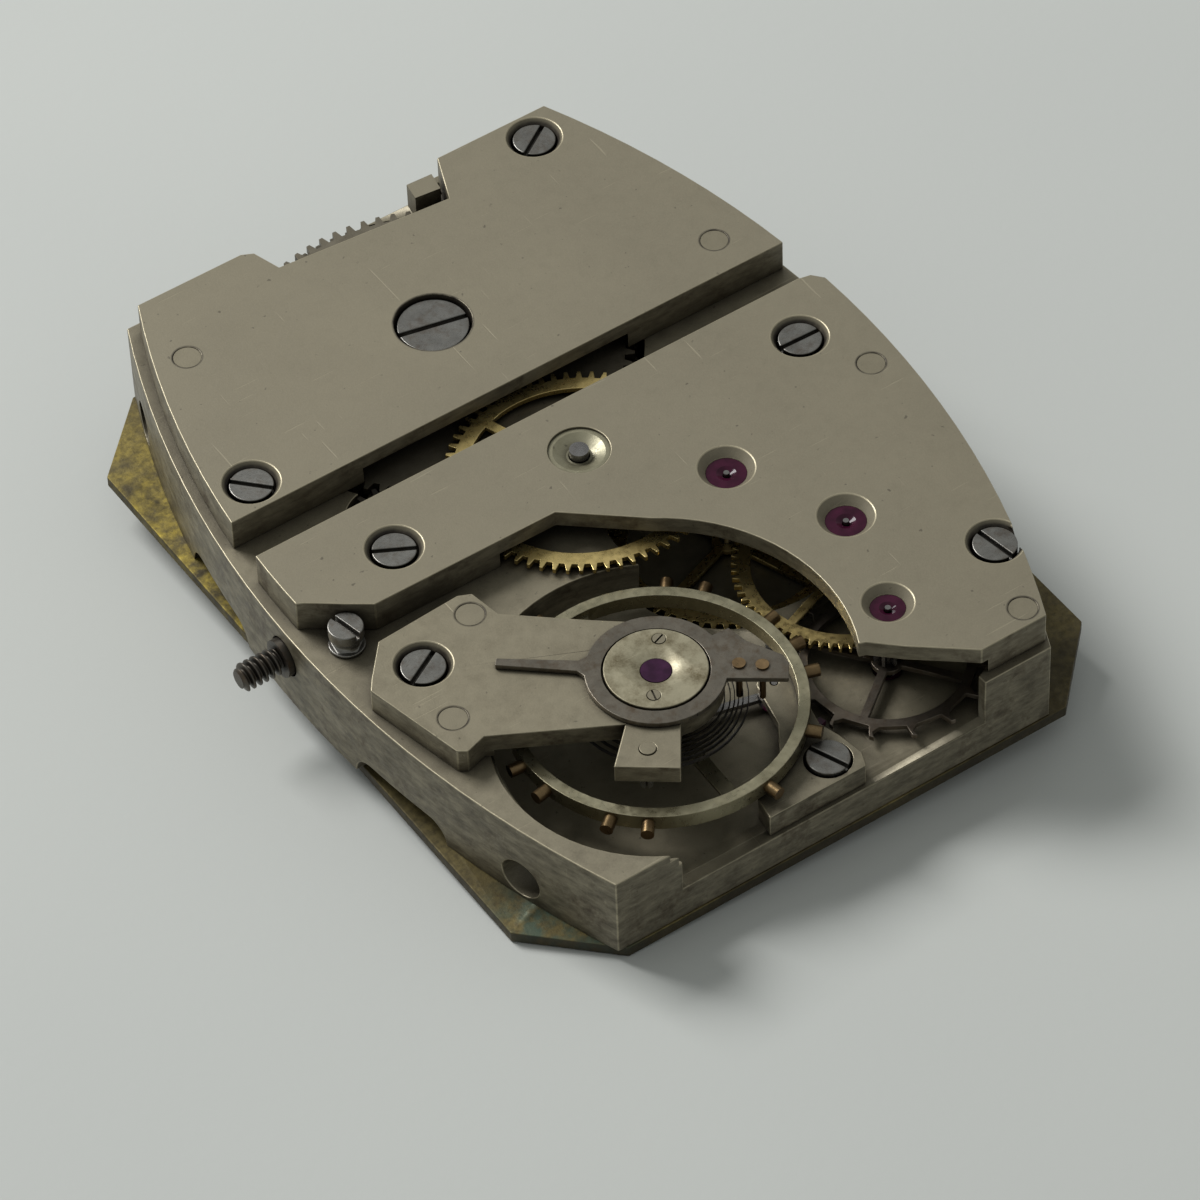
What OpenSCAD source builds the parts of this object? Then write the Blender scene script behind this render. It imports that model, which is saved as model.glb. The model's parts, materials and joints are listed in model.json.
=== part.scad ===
// Hand-wound wristwatch movement of tonneau shape, built from its separate pieces.
// Sizes are in millimetres. The origin is on the hand axis, on the outer face of the dial.
// +Y runs towards the barrel, -X towards the stem, +Z towards the bridges.

/* [Frame] */
// Half width of the bridges and of the main plate's plain side
plate_half = 10.4; // [10.2:0.05:10.8]
// Radius of the bowed long sides
side_r = 32.5; // [30:0.5:36]
// How far the main plate bows out past the bridges on the side of the stem
stem_bulge = 0.3; // [0.2:0.05:0.4]
// Radius of the stem side of the main plate
stem_side_r = 36; // [35:0.5:40]
// Distance from the hand axis to the balance end of the plate
plate_low = 13.85; // [13.8:0.05:14.2]
// Distance from the hand axis to the barrel end of the plate
plate_high = 13.4; // [13.4:0.05:13.8]
// Thickness of the dial
dial_t = 0.4; // [0.3:0.05:0.6]
// Thickness of the main plate
plate_t = 3.0; // [3:0.05:3.3]
// Thickness of the two bridges
bridge_t = 1.15; // [1.1:0.05:1.4]
// Thickness of the balance cock
cock_t = 0.9; // [0.85:0.05:1]
// Depth of the recess under the dial for the motion work
motion_depth = 0.55; // [0.55:0.05:0.6]

/* [Power] */
// Outer radius of the barrel over its teeth
barrel_tip = 6.23; // [6.1:0.01:6.25]
// Teeth of the barrel
barrel_teeth = 72; // [66:1:78]
// Teeth of the ratchet wheel
ratchet_teeth = 78; // [74:1:82]
// Teeth of the crown wheel
crown_teeth = 17; // [16:1:18]
// Teeth of the intermediate wheel
idle_teeth = 14; // [14:1:16]
// Radius of the big slotted head in the middle of the barrel
arbor_head_r = 1.12; // [1:0.01:1.15]

/* [Train] */
// Teeth of the centre wheel
centre_teeth = 64; // [60:1:68]
// Teeth of the third wheel
third_teeth = 60; // [56:1:64]
// Teeth of the fourth wheel
fourth_teeth = 70; // [66:1:74]
// Teeth of the escape wheel
escape_teeth = 15; // [15:1:15]
// Thickness of the train wheels
wheel_t = 0.18; // [0.15:0.01:0.22]
// Radius of the thin pivots
pivot_r = 0.09; // [0.07:0.01:0.12]

/* [Balance] */
// Outer radius of the balance rim
balance_r = 4.5; // [4.3:0.05:4.6]
// Width of the balance rim
rim_w = 0.36; // [0.3:0.02:0.45]
// Height of the balance rim
rim_h = 0.55; // [0.4:0.05:0.55]
// Turns of the hairspring
spring_turns = 4.5; // [4:0.25:4.5]
// Outer radius of the hairspring
spring_r = 2.76; // [2.7:0.02:2.8]

/* [Winding] */
// Radius of the thread on the stem
thread_r = 0.45; // [0.4:0.05:0.5]
// Length of the stem outside the plate
stem_out = 1.6; // [1.2:0.1:2.6]
// Travel of the stem from winding to setting
stem_travel = 0.45; // [0.4:0.05:0.45]

/* [Fits] */
// Running clearance of a pivot in its hole
pivot_gap = 0.03; // [0.03:0.005:0.05]
// Clearance round sliding pieces
slide_gap = 0.04; // [0.03:0.01:0.06]
// Clearance between a wheel and the recess round it
wheel_gap = 0.15; // [0.12:0.01:0.25]

/* [Hidden] */
$fn = 48;
eps = 0.02;
// The stem side of the main plate, from the hand axis
stem_half = plate_half + stem_bulge;
// Clear height between the balance rim and the pallet cock
balance_air = 0.15;
// Levels, counted from the faces of the plate
z_low = dial_t;
z_top = dial_t + plate_t;
z_bridge = z_top + bridge_t;
z_motion = z_low + motion_depth;
z_floor = z_low + 0.72;
z_stem = z_top - 1.15;
z_cock = z_top + cock_t;
z_web = z_top + 0.55;
z_third = z_low + 0.8;
z_centre = z_top + 0.1;
z_rim = z_top - 0.25;
z_pallet_cock = z_rim - rim_h - balance_air;
z_mid = z_pallet_cock - 0.83;
z_escape = z_mid + 0.23;
z_fourth = z_mid + 0.65;
z_roller = z_mid + 0.53;
z_spring = z_top - 0.15;
z_ratchet = z_top - 0.29;
ratchet_t = 0.25;
z_drum = z_low + 0.8;
z_drum_top = z_ratchet - 0.06;
// Axes in the plan
hand = [0, 0];
barrel = [-0.59, 7.08];
third = [3.16, -3.19];
fourth = [4.91, -6.88];
escape = [3.86, -10.43];
staff = [-3.13, -8.57];
crown = [-6.69, -0.07];
minute_at = [-2.44, 0.89];
setting_at = [-5.2, 0.1];
click_at = [4.5, 11.8];
lever_at = [-9.44, -1.64];
yoke_at = [-7.22, 2.3];
cock_screw_at = [-0.06, -12.87];
cover_screws = [[-8.1, -1.5], [-6.5, 2.95]];
// Path of the impulse jewel round the balance staff
impulse_r = 0.72;
// Tooth numbers of the small pinions
centre_leaves = 12;
third_leaves = 8;
fourth_leaves = 8;
escape_leaves = 7;
// Modules that follow from the distances between the axes
m_barrel = 2 * norm(barrel - hand) / (barrel_teeth + centre_leaves);
m_centre = 2 * norm(third - hand) / (centre_teeth + third_leaves);
m_third = 2 * norm(fourth - third) / (third_teeth + fourth_leaves);
m_fourth = 2 * norm(escape - fourth) / (fourth_teeth + escape_leaves);
m_ratchet = 0.154;
m_motion = 0.13;
r_ratchet = m_ratchet * ratchet_teeth / 2;
r_idle = m_ratchet * idle_teeth / 2;
r_crown = m_ratchet * crown_teeth / 2;
// The intermediate wheel lies where it meshes with both the ratchet and the crown wheel
idle_at = meet(barrel, r_ratchet + r_idle, crown, r_idle + r_crown);
// Radii over the teeth of the wheels and of the pallets' jewels
third_tip = m_third * (third_teeth / 2 + 1);
fourth_tip = m_fourth * (fourth_teeth / 2 + 1);
centre_tip = m_centre * (centre_teeth / 2 + 1.2);
escape_tip = 3.1;
jewel_r = 0.45;
// The pallet arbor lies on the line from the escape wheel to the balance
pallet_way = (staff - escape) / norm(staff - escape);
pallet_at = escape + escape_tip / cos(30) * pallet_way;
pallet_turn = angle_of(pallet_way);
// The two stones of the pallets: bite into the wheel's path, length, width
stone_in = 0.08;
stone_l = 0.5;
stone_w = 0.22;
stone_end = escape_tip - stone_in + stone_l;
pallet_reach = norm([norm(pallet_at - escape) - stone_end * cos(30), stone_end * sin(30) + stone_w / 2]);
fork_reach = norm(staff - pallet_at) - impulse_r;
// Balance wheel heads and rooms in the plate
head_reach = 0.45;
balance_gap = 0.23;
balance_room = balance_r + head_reach + balance_gap;
bridge_room = balance_room + 0.79;
recess_at = [-3.9, -9.6];
recess_r = balance_room - 0.3;
recess_step = 0.14;
// Places round the balance: rim screws, stud of the hairspring, curb pins, impulse jewel
rim_screws = [-79, -48, -19, -5, 10, 38, 52];
stud_at = [-4.97, -10.8];
curb_at = [at_angle(2.42, -31), at_angle(3.1, -33)];
jewel_way = angle_of(pallet_at - staff);
drum_room = barrel_tip + 0.22;
drum_wall = barrel_tip - 0.38;
drum_bore = drum_wall - 0.3;
// Mainspring: radius of its core and number of coils
core_r = 1.2;
coils = 7;
// The bridges stand back from the outline of the plate
bridge_step = 0.11;
// The beak of the click stands in the space between two teeth of the ratchet
beak = barrel + at_angle(r_ratchet + m_ratchet - 0.1, 12.5 * 360 / ratchet_teeth);
// Screws of the bridges: place, slot angle, underside of the head, lower end
head_r = 0.68;
sink_r = 0.89;
screw_r = 0.3;
head_h = 0.42;
screws = [
    [[6.49, 12.04], 33], [[-8.71, 4.67], -47], [[8.14, -0.02], -2],
    [[7.86, -10.32], 99], [crown, -29]
];
cock_screw = [[-8.43, -4.26], 29];
pin_r = 0.43;
bridge_pins = [[8.42, 4.93], [-7.49, 10.25], [9.22, -2.22], [6.92, -12.94]];
cock_pins = [[-6.23, -3.43], [-8.88, -6.53]];
feet = [[-7.75, -10.5], [-7.3, 11.55]];
foot_r = 0.33;
foot_screw_z = z_low + 0.8;
foot_screw_r = 0.55;
foot_seat = 0.6;
relief_h = 0.75;
// Seats of the two hands, from the dial outwards
hour_seat_r = 0.75;
hour_end = -0.8;
minute_seat_r = 0.36;
minute_end = -1.25;
cannon_r = 0.52;
centre_r = 0.2;
shoulder_r = 0.92;
// Stem stations along X, from the outside in
stem_end = -stem_half - stem_out;
thread_end = -stem_half - 0.2;
thread_root = thread_r - 0.16;
journal_r = 0.62;
journal_in = -8.6;
pocket_in = -5.6;
pocket_half = 1.2;
winding_r = 0.82;
winding_x = [-8.5, -7.6];
sliding_r = 0.8;
sliding_x = [-7.5, -6.45];
square_in = -5.65;
stem_neck = 0.4;
stem_square = 0.56;
thread_pitch = 0.22;
pivot_in = -4.6;
peg_r = 0.15;
clutch_peg_r = 0.1;
clutch_groove = [-7.36, -7.08];
clutch_travel = stem_travel * 11 / 12;
z_keyless = z_low + 0.62;
z_lever = z_low + 0.32;
lever_t = 0.25;
z_cover = z_low + 0.05;
cover_t = 0.2;

// A point where a circle of radius ra about a meets one of radius rb about b
function meet(a, ra, b, rb) =
    let (
        d = norm(b - a),
        u = (b - a) / d,
        along = (ra * ra - rb * rb + d * d) / (2 * d),
        off = sqrt(max(0, ra * ra - along * along))
    )
    a + along * u + off * [u[1], -u[0]];

function at_angle(r, a) = r * [cos(a), sin(a)];

function angle_of(v) = atan2(v[1], v[0]);

// Turn of a second wheel that sets its tooth space opposite a tooth of the first
function mesh_turn(p1, z1, turn1, p2, z2) =
    let (way = angle_of(p2 - p1))
    way + 180 + 360 / z2 * ((way - turn1) * z1 / 360 + 0.5);

// Toothed outline with four flat faces a tooth
function teeth(z, tip, root, turn = 0) = [
    for (i = [0 : z - 1])
        for (k = [[root, -0.27], [tip, -0.12], [tip, 0.12], [root, 0.27]])
            at_angle(k[0], turn + (i + k[1]) * 360 / z)
];

// Saw-shaped outline of the ratchet wheel
function saw(z, tip, root, turn = 0) = [
    for (i = [0 : z - 1])
        for (k = [[root, -0.3], [tip, -0.16], [tip, 0.08], [root, 0.3]])
            at_angle(k[0], turn + (i + k[1]) * 360 / z)
];

module place(p, z = 0) {
    translate([p[0], p[1], z])
        children();
}

// Upright cylinder from one level to another
module post(p, r, z0, z1) {
    place(p, z0)
        cylinder(r = r, h = z1 - z0);
}

// Upright hole, a little longer than the stock at the end that opens
module bore(p, r, z0, z1) {
    post(p, r, z0, z1 + eps);
}

// Plate cut to an outline between two levels
module slab(z0, z1) {
    translate([0, 0, z0])
        linear_extrude(z1 - z0)
            children();
}

// Straight bar with round ends
module bar(a, b, w) {
    translate(a)
        circle(d = w);
    translate(b)
        circle(d = w);
    translate(a)
        rotate(angle_of(b - a))
            translate([0, -w / 2])
                square([norm(b - a), w]);
}

// Block of the frame's outline, drawn in by a step
module tonneau(step = 0) {
    r = side_r - step;
    c = side_r - plate_half;
    intersection() {
        translate([-c, 0])
            circle(r = r, $fn = 360);
        translate([c, 0])
            circle(r = r, $fn = 360);
        translate([-plate_half - 1, -plate_low + step])
            square([2 * plate_half + 2, plate_low + plate_high - 2 * step]);
    }
}

// The main plate is as the bridges, but bows out further on the side of the stem
module plate_outline() {
    intersection() {
        translate([plate_half - side_r, 0])
            circle(r = side_r, $fn = 360);
        translate([stem_side_r - stem_half, -0.7])
            circle(r = stem_side_r, $fn = 360);
        translate([-stem_half - 1, -plate_low])
            square([stem_half + plate_half + 2, plate_low + plate_high]);
    }
}

// Slotted screw: head on top, shank below
module screw(p, top, r, h, shank, bottom, slot, turn) {
    difference() {
        union() {
            post(p, r, top - h, top);
            post(p, shank, bottom, top - h);
        }
        place(p, top - 0.22)
            rotate(turn)
                translate([-r - 1, -slot / 2, 0])
                    cube([2 * r + 2, slot, 1]);
    }
}

// Sink and hole for a slotted screw in a bridge whose face is at top
module screw_hole(p, top, bottom) {
    post(p, head_r + 0.05, top - 0.6, top + eps);
    place(p, top - 0.22)
        cylinder(r1 = head_r + 0.05, r2 = sink_r + 0.02, h = 0.22 + eps);
    post(p, screw_r, bottom - eps, top - 0.5);
}

// Toothed wheel with a rim, a hub and straight spokes
module spoked(p, z, tip, root, turn, rim, hub, spokes, width, t, z0, hole) {
    inner = root - rim;
    place(p, z0)
        linear_extrude(t)
            difference() {
                union() {
                    difference() {
                        polygon(teeth(z, tip, root, turn));
                        circle(r = inner, $fn = 96);
                    }
                    circle(r = hub);
                    for (i = [0 : spokes - 1])
                        rotate(i * 360 / spokes + 20)
                            translate([0, -width / 2])
                                square([inner + rim / 2, width]);
                }
                circle(r = hole);
            }
}

// Toothed pinion or solid gear with a round hole
module toothed(p, z, m, turn, t, z0, hole, add = 1, ded = 1.2) {
    r = m * z / 2;
    place(p, z0)
        linear_extrude(t)
            difference() {
                polygon(teeth(z, r + add * m, r - ded * m, turn));
                circle(r = hole);
            }
}

// Tube of six sides along a row of points that lie in one level
function ring_points(row, r) = [
    for (i = [0 : len(row) - 1])
        let (
            before = row[max(0, i - 1)],
            after = row[min(len(row) - 1, i + 1)],
            way = (after - before) / norm(after - before),
            side = [way[1], -way[0], 0]
        )
        for (k = [0 : 5])
            row[i] + r * (cos(60 * k) * side + sin(60 * k) * [0, 0, 1])
];

function tube_faces(n) = concat(
    [
        for (i = [0 : n - 2])
            for (k = [0 : 5])
                for (f = [
                    [6 * i + k, 6 * i + (k + 1) % 6, 6 * (i + 1) + k],
                    [6 * i + (k + 1) % 6, 6 * (i + 1) + (k + 1) % 6, 6 * (i + 1) + k]
                ])
                    f
    ],
    [for (k = [1 : 4]) [0, k + 1, k]],
    [for (k = [1 : 4]) [6 * (n - 1), 6 * (n - 1) + k, 6 * (n - 1) + k + 1]]
);

// Turns of the wheels that set their teeth in mesh
turn_centre = 0;
turn_barrel = mesh_turn(hand, centre_leaves, turn_centre, barrel, barrel_teeth);
turn_third_leaves = mesh_turn(hand, centre_teeth, turn_centre, third, third_leaves);
turn_third = 0;
turn_fourth_leaves = mesh_turn(third, third_teeth, turn_third, fourth, fourth_leaves);
turn_fourth = 0;
turn_escape_leaves = mesh_turn(fourth, fourth_teeth, turn_fourth, escape, escape_leaves);
turn_ratchet = 0;
turn_idle = mesh_turn(barrel, ratchet_teeth, turn_ratchet, idle_at, idle_teeth);
turn_crown = mesh_turn(idle_at, idle_teeth, turn_idle, crown, crown_teeth);
turn_escape = pallet_turn + 12;
turn_cannon = 0;
turn_minute = mesh_turn(hand, 10, turn_cannon, minute_at, 30);
turn_hour = mesh_turn(minute_at, 8, turn_minute, hand, 32);
turn_setting = mesh_turn(minute_at, 30, turn_minute, setting_at, 14);

// Outline of the barrel bridge with its notch over the ratchet
module barrel_outline() {
    intersection() {
        tonneau(bridge_step);
        polygon([
            [-12, 3.6], [12, 3.6], [12, 13.05], [3.5, 13.05], [2.81, 11.33],
            [-3.12, 11.88], [-3.42, 12.86], [-3.8, 13.05], [-12, 13.05]
        ]);
    }
}

// Outline of the train bridge
module train_outline() {
    intersection() {
        tonneau(bridge_step);
        difference() {
            polygon([
                [-12, 2.05], [9.5, 2.05], [9.95, 1.95], [10.24, 1.6], [12, 0.6], [12, -13.56],
                [4.97, -13.56], [3.22, -12.11], [2.42, -11.33], [1.5, -11], [1.5, -5],
                [0.13, -3.56], [-2.02, -1.7], [-8.39, -1.65], [-9.11, -1.13], [-10.07, -0.39],
                [-12, 0.6]
            ]);
            translate(staff)
                circle(r = bridge_room, $fn = 180);
        }
    }
}

// Rooms that the dial side of the plate leaves for the hands' wheels
module motion_room() {
    circle(r = m_motion * 17 + wheel_gap);
    translate(minute_at)
        circle(r = m_motion * 16 + wheel_gap);
}

// Room for the setting lever, the yoke and their cover plate
module keyless_room() {
    bar(lever_at, [lever_at[0] + 0.05, 0], 1.3);
    bar(yoke_at, [yoke_at[0] + 0.3, 0], 1.6);
    bar(yoke_at, cover_screws[1], 1.1);
    bar(lever_at, [-6.9, -1.4], 1.3);
    bar([lever_at[0] + 0.35, 0.1], [-6.9, 0.1], 1.1);
    bar([-6.9, -1.4], [-6.9, 0], 1.3);
}

// Low arch with round ends, cut into the lower edge of the stem side
module side_relief(y0, y1) {
    x = -stem_half - 1;
    deep = 2.05;
    translate([x, y0 + relief_h, z_low - eps])
        cube([deep, y1 - y0 - 2 * relief_h, relief_h + eps]);
    for (y = [y0 + relief_h, y1 - relief_h])
        translate([x, y, z_low])
            rotate([0, 90, 0])
                cylinder(r = relief_h, h = deep);
}

module plate_body() {
    difference() {
        slab(z_low, z_top)
            plate_outline();
        bore(barrel, drum_room, z_floor, z_top);
        translate([-3.6, 11.4, z_top - 0.6])
            cube([6.7, 3, 1]);
        bore(barrel, 0.58, z_low + 0.15, z_floor);
        bore(hand, 1.4, z_low + 1.8, z_top);
        difference() {
            bore(third, third_tip + wheel_gap, z_floor, z_top);
            post(hand, 0.62, z_floor - eps, z_low + 1.8);
        }
        bore(fourth, fourth_tip + wheel_gap, z_fourth - 0.12, z_top);
        bore(fourth, 0.75, z_floor, z_top);
        bore(escape, escape_tip + wheel_gap, z_mid, z_top);
        bore(pallet_at, pallet_reach + wheel_gap, z_mid, z_top);
        bore(staff, balance_room, z_mid, z_top);
        bore(recess_at, recess_r - 4 * recess_step, z_mid, z_top);
        for (i = [0 : 3])
            bore(recess_at, recess_r - i * recess_step, z_top - 0.3 - 0.32 * i, z_top);
        translate([-5.9, -plate_low - 1, z_mid])
            cube([10.8, 3.4, plate_t]);
        pivot_holes();
        stem_room();
        slab(z_low - eps, z_motion)
            motion_room();
        post(setting_at, 1.2, z_low - eps, z_low + 1.08);
        slab(z_low - eps, z_keyless)
            keyless_room();
        bore(idle_at, r_idle + m_ratchet + wheel_gap / 2, z_ratchet - 0.06, z_top);
        bore(crown, r_crown + m_ratchet + wheel_gap / 2, z_ratchet - 0.06, z_top);
        click_room();
        for (s = screws)
            if (s[0] != crown)
                bore(s[0], screw_r, z_low + 1.3, z_top);
        bore(cock_screw[0], screw_r, z_low + 1.3, z_top);
        for (p = concat(bridge_pins, cock_pins))
            bore(p, pin_r, z_low + 1.5, z_top);
        bore(cock_screw_at, 0.28, z_low + 0.4, z_mid);
        for (p = cover_screws)
            post(p, 0.15, z_keyless - eps, z_keyless + 0.62);
        post(click_at, 0.15, z_low + 1.58, z_top);
        for (p = feet)
            foot_room(p);
        side_relief(-7.6, -3.6);
        side_relief(2.4, 6.4);
    }
}

// Foot of the dial and the screw that holds it from the side
module foot_room(p) {
    post(p, foot_r + 0.03, z_low - eps, z_low + 1.1);
    translate([p[0], p[1], foot_screw_z])
        rotate([0, -90, 0])
            cylinder(r = 0.26, h = foot_seat + 0.1);
    translate([p[0] - foot_seat, p[1], foot_screw_z])
        rotate([0, -90, 0])
            cylinder(r = foot_screw_r + 0.13, h = 3);
}

// Lower holes of the train, the pallets and the balance
module pivot_holes() {
    bore(hand, 0.38, z_low - eps, z_low + 1.8);
    for (p = [third, fourth])
        bore(p, jewel_r, z_low - eps, z_floor);
    for (p = [escape, pallet_at])
        bore(p, jewel_r, z_low - eps, z_mid);
    bore(staff, jewel_r + 0.2, z_low - eps, z_mid);
}

// Bores and pocket along the stem
module stem_room() {
    translate([-stem_half - 1, 0, z_stem])
        rotate([0, 90, 0])
            cylinder(r = journal_r + slide_gap, h = stem_half + 1 + journal_in + eps);
    translate([journal_in, -pocket_half, z_floor])
        cube([pocket_in - journal_in, 2 * pocket_half, plate_t]);
    translate([pocket_in - eps, 0, z_stem])
        rotate([0, 90, 0])
            cylinder(r = 0.25 + slide_gap, h = pivot_in - pocket_in + 0.1);
    translate([lever_at[0] - stem_travel - peg_r - 0.05, -peg_r - 0.15, z_keyless - eps])
        cube([stem_travel + 2 * peg_r + 0.1, 2 * peg_r + 0.3, 1]);
    post(lever_at, 0.38, z_keyless - eps, z_top + eps);
    translate([yoke_at[0] - 0.2, -0.25, z_keyless - eps])
        cube([clutch_travel + 0.4, 0.5, 0.5]);
}

// Flat room for the click and its spring beside the ratchet
module click_room() {
    slab(z_ratchet - 0.05, z_top + eps) {
        bar(click_at, [3, 12.2], 1.3);
        bar([4.9, 12.5], [2.2, 13.1], 0.6);
        bar([5.25, 12.72], [4.8, 12.72], 0.46);
    }
}

module main_plate() {
    color("#b0a99c") {
        plate_body();
        post(minute_at, 0.3, z_low + 0.03, z_motion);
        post(setting_at, 0.3, z_low + 0.1, z_low + 1.1);
        post(yoke_at, 0.25, z_cover + cover_t, z_keyless);
        post(idle_at, 0.3, z_ratchet - 0.08, z_ratchet + ratchet_t);
    }
}

module dial() {
    cut = 2.45;
    w = plate_half - 0.05;
    lo = -plate_low - 0.05;
    hi = plate_high;
    color("#8d8455") {
        slab(0, dial_t)
            difference() {
                polygon([
                    [-w, lo + cut], [-w + cut, lo], [w - cut, lo], [w, lo + cut],
                    [w, hi - cut], [w - cut, hi], [-w + cut, hi], [-w, hi - cut]
                ]);
                circle(r = shoulder_r + 0.16);
            }
        for (p = feet)
            post(p, foot_r, dial_t, dial_t + 1.05);
    }
}

module dial_foot_screws() {
    color("#8f949c")
        for (p = feet)
            translate([p[0] - foot_r, p[1], foot_screw_z])
                rotate([0, -90, 0])
                    difference() {
                        union() {
                            cylinder(r = 0.25, h = foot_seat - foot_r);
                            translate([0, 0, foot_seat - foot_r])
                                cylinder(r = foot_screw_r, h = 0.35);
                        }
                        translate([-1, -0.07, foot_seat - foot_r + 0.17])
                            cube([2, 0.14, 1]);
                    }
}

module barrel_bridge() {
    color("#b0a99c")
        difference() {
            slab(z_top, z_bridge)
                barrel_outline();
            post(barrel, 5.95, z_top - eps, z_top + 0.6);
            post(hand, centre_tip + wheel_gap, z_top - eps, z_web);
            post(barrel, arbor_head_r + 0.09, z_top, z_bridge + eps);
            for (i = [0, 1])
                screw_hole(screws[i][0], z_bridge, z_top);
            for (i = [0, 1])
                post(bridge_pins[i], pin_r, z_top - eps, z_bridge + eps);
        }
}

module train_bridge() {
    sinks = [third, fourth, escape];
    color("#b0a99c") {
        post(crown, 0.55, z_ratchet, z_top + 0.05);
        difference() {
            slab(z_top, z_bridge)
                train_outline();
            difference() {
                union() {
                    post(hand, centre_tip + wheel_gap + 0.05, z_top - eps, z_web);
                    post(third, 3.7, z_top - eps, z_web);
                    post(fourth, 3.7, z_top - eps, z_web);
                    post(escape, 3.4, z_top - eps, z_web);
                }
                translate([9, -14, z_top - 1])
                    cube([3, 17, 3]);
                for (i = [2, 3])
                    post(screws[i][0], sink_r, z_top - 1, z_web + 1);
            }
            for (i = [2, 3])
                screw_hole(screws[i][0], z_bridge, z_top);
            screw_hole(crown, z_bridge, z_bridge - 0.9);
            for (i = [2, 3])
                post(bridge_pins[i], pin_r, z_top - eps, z_bridge + eps);
            post(hand, 0.95, z_web - eps, z_bridge + eps);
            for (p = sinks) {
                post(p, ruby_r(p), z_web - eps, z_bridge);
                place(p, z_bridge - 0.27)
                    cylinder(r1 = ruby_r(p), r2 = ruby_r(p) + 0.28, h = 0.27 + eps);
            }
        }
    }
}

function ruby_r(p) = p == escape ? 0.53 : 0.62;

module bridge_screws() {
    color("#9aa0ab") {
        for (i = [0 : 3])
            screw(screws[i][0], z_bridge - 0.1, head_r, head_h, screw_r, z_low + 1.4, 0.14, screws[i][1]);
        screw(crown, z_bridge - 0.1, head_r, head_h, screw_r, z_bridge - 0.9, 0.14, screws[4][1]);
        screw(cock_screw[0], z_cock - 0.1, head_r, 0.38, screw_r, z_low + 1.4, 0.14, cock_screw[1]);
    }
}

// Outline of the balance cock with its round head
module cock_outline() {
    polygon([
        [-9.01, -2.75], [-6.13, -2.59], [-5.73, -2.78], [-5.55, -3.89], [-3.56, -5.63],
        [-1.9, -7.0], [-1.7, -8.57], [-2.2, -10.3], [-4.98, -9.65], [-8.54, -7.64],
        [-9.23, -7.84], [-9.49, -7.66], [-10.24, -4.22], [-9.99, -3.88]
    ]);
}

// Arm of the cock that carries the stud
module stud_arm() {
    polygon([
        [-4.6, -9.2], [-3.2, -10.2], [-3.67, -10.61],
        [-4.61, -11.96], [-6.15, -10.79], [-4.98, -9.66]
    ]);
}

module balance_cock() {
    color("#b3ac9f")
        difference() {
            union() {
                slab(z_top, z_cock)
                    cock_outline();
                slab(z_top, z_cock)
                    stud_arm();
                post(staff, 2, z_top, z_cock);
            }
            post(staff, balance_room + 0.05, z_top - eps, z_cock - 0.66);
            post(stud_at, 0.25, z_top - eps, z_cock + eps);
            screw_hole(cock_screw[0], z_cock, z_top);
            for (p = cock_pins)
                post(p, pin_r, z_top - eps, z_cock + eps);
            post(staff, 0.55, z_top - eps, z_cock + eps);
            for (i = [0, 1])
                post(staff + end_screw(i), 0.13, z_cock - 0.3, z_cock + eps);
        }
}

function end_screw(i) = i == 0 ? at_angle(1.15, 51) : at_angle(1.05, -128);

module pallet_cock() {
    color("#a89d88")
        difference() {
            slab(z_mid, z_pallet_cock) {
                polygon([
                    [0.76, -12.32], [0.9, -13.23], [0.7, -13.7], [-2.74, -13.7], [-2.6, -12.9],
                    [-1.3, -12.2], [-0.45, -10.9], [-0.1, -9.3], [0.2, -9], [0.75, -9],
                    [1, -9.4], [0.85, -10.2], [0.55, -11.6]
                ]);
            }
            slab(z_mid - eps, z_mid + 0.5)
                translate([-3, -11.9])
                    square([6, 5]);
            post(cock_screw_at, 0.72, z_pallet_cock - 0.2, z_pallet_cock + eps);
            post(cock_screw_at, 0.28, z_mid - eps, z_pallet_cock);
            post(pallet_at, pivot_r + pivot_gap, z_mid, z_pallet_cock + eps);
        }
}

module pallet_cock_screw() {
    color("#9aa0ab")
        screw(cock_screw_at, z_pallet_cock + 0.12, 0.66, 0.32, 0.28, z_low + 0.45, 0.13, -68);
}

module steady_pins() {
    color("#a5a7ab") {
        for (p = bridge_pins)
            post(p, pin_r, z_low + 1.5, z_bridge - 0.02);
        for (p = cock_pins)
            post(p, pin_r, z_low + 1.5, z_cock - 0.02);
    }
}

// Pierced jewel between two levels
module jewel(p, r, z0, z1, hole) {
    difference() {
        post(p, r, z0, z1);
        post(p, hole, z0 - eps, z1 + eps);
        place(p, z1 - 0.1)
            cylinder(r1 = hole, r2 = r * 0.55, h = 0.1 + eps);
    }
}

module train_jewels() {
    hole = pivot_r + pivot_gap;
    color("#9c2f7d") {
        for (p = [third, fourth, escape])
            jewel(p, ruby_r(p), z_web + 0.02, z_bridge - 0.27, hole);
        for (p = [third, fourth])
            jewel(p, jewel_r, z_low + 0.2, z_low + 0.55, hole);
        for (p = [escape, pallet_at])
            jewel(p, jewel_r, z_mid - 0.52, z_mid - 0.17, hole);
    }
}

module balance_jewels() {
    hole = pivot_r + pivot_gap;
    color("#9c2f7d") {
        jewel(staff, jewel_r + 0.2, z_low + 0.6, z_low + 0.95, hole);
        post(staff, jewel_r + 0.2, z_low + 0.25, z_low + 0.5);
        jewel(staff, 0.55, z_cock - 0.55, z_cock - 0.2, hole);
    }
}

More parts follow.
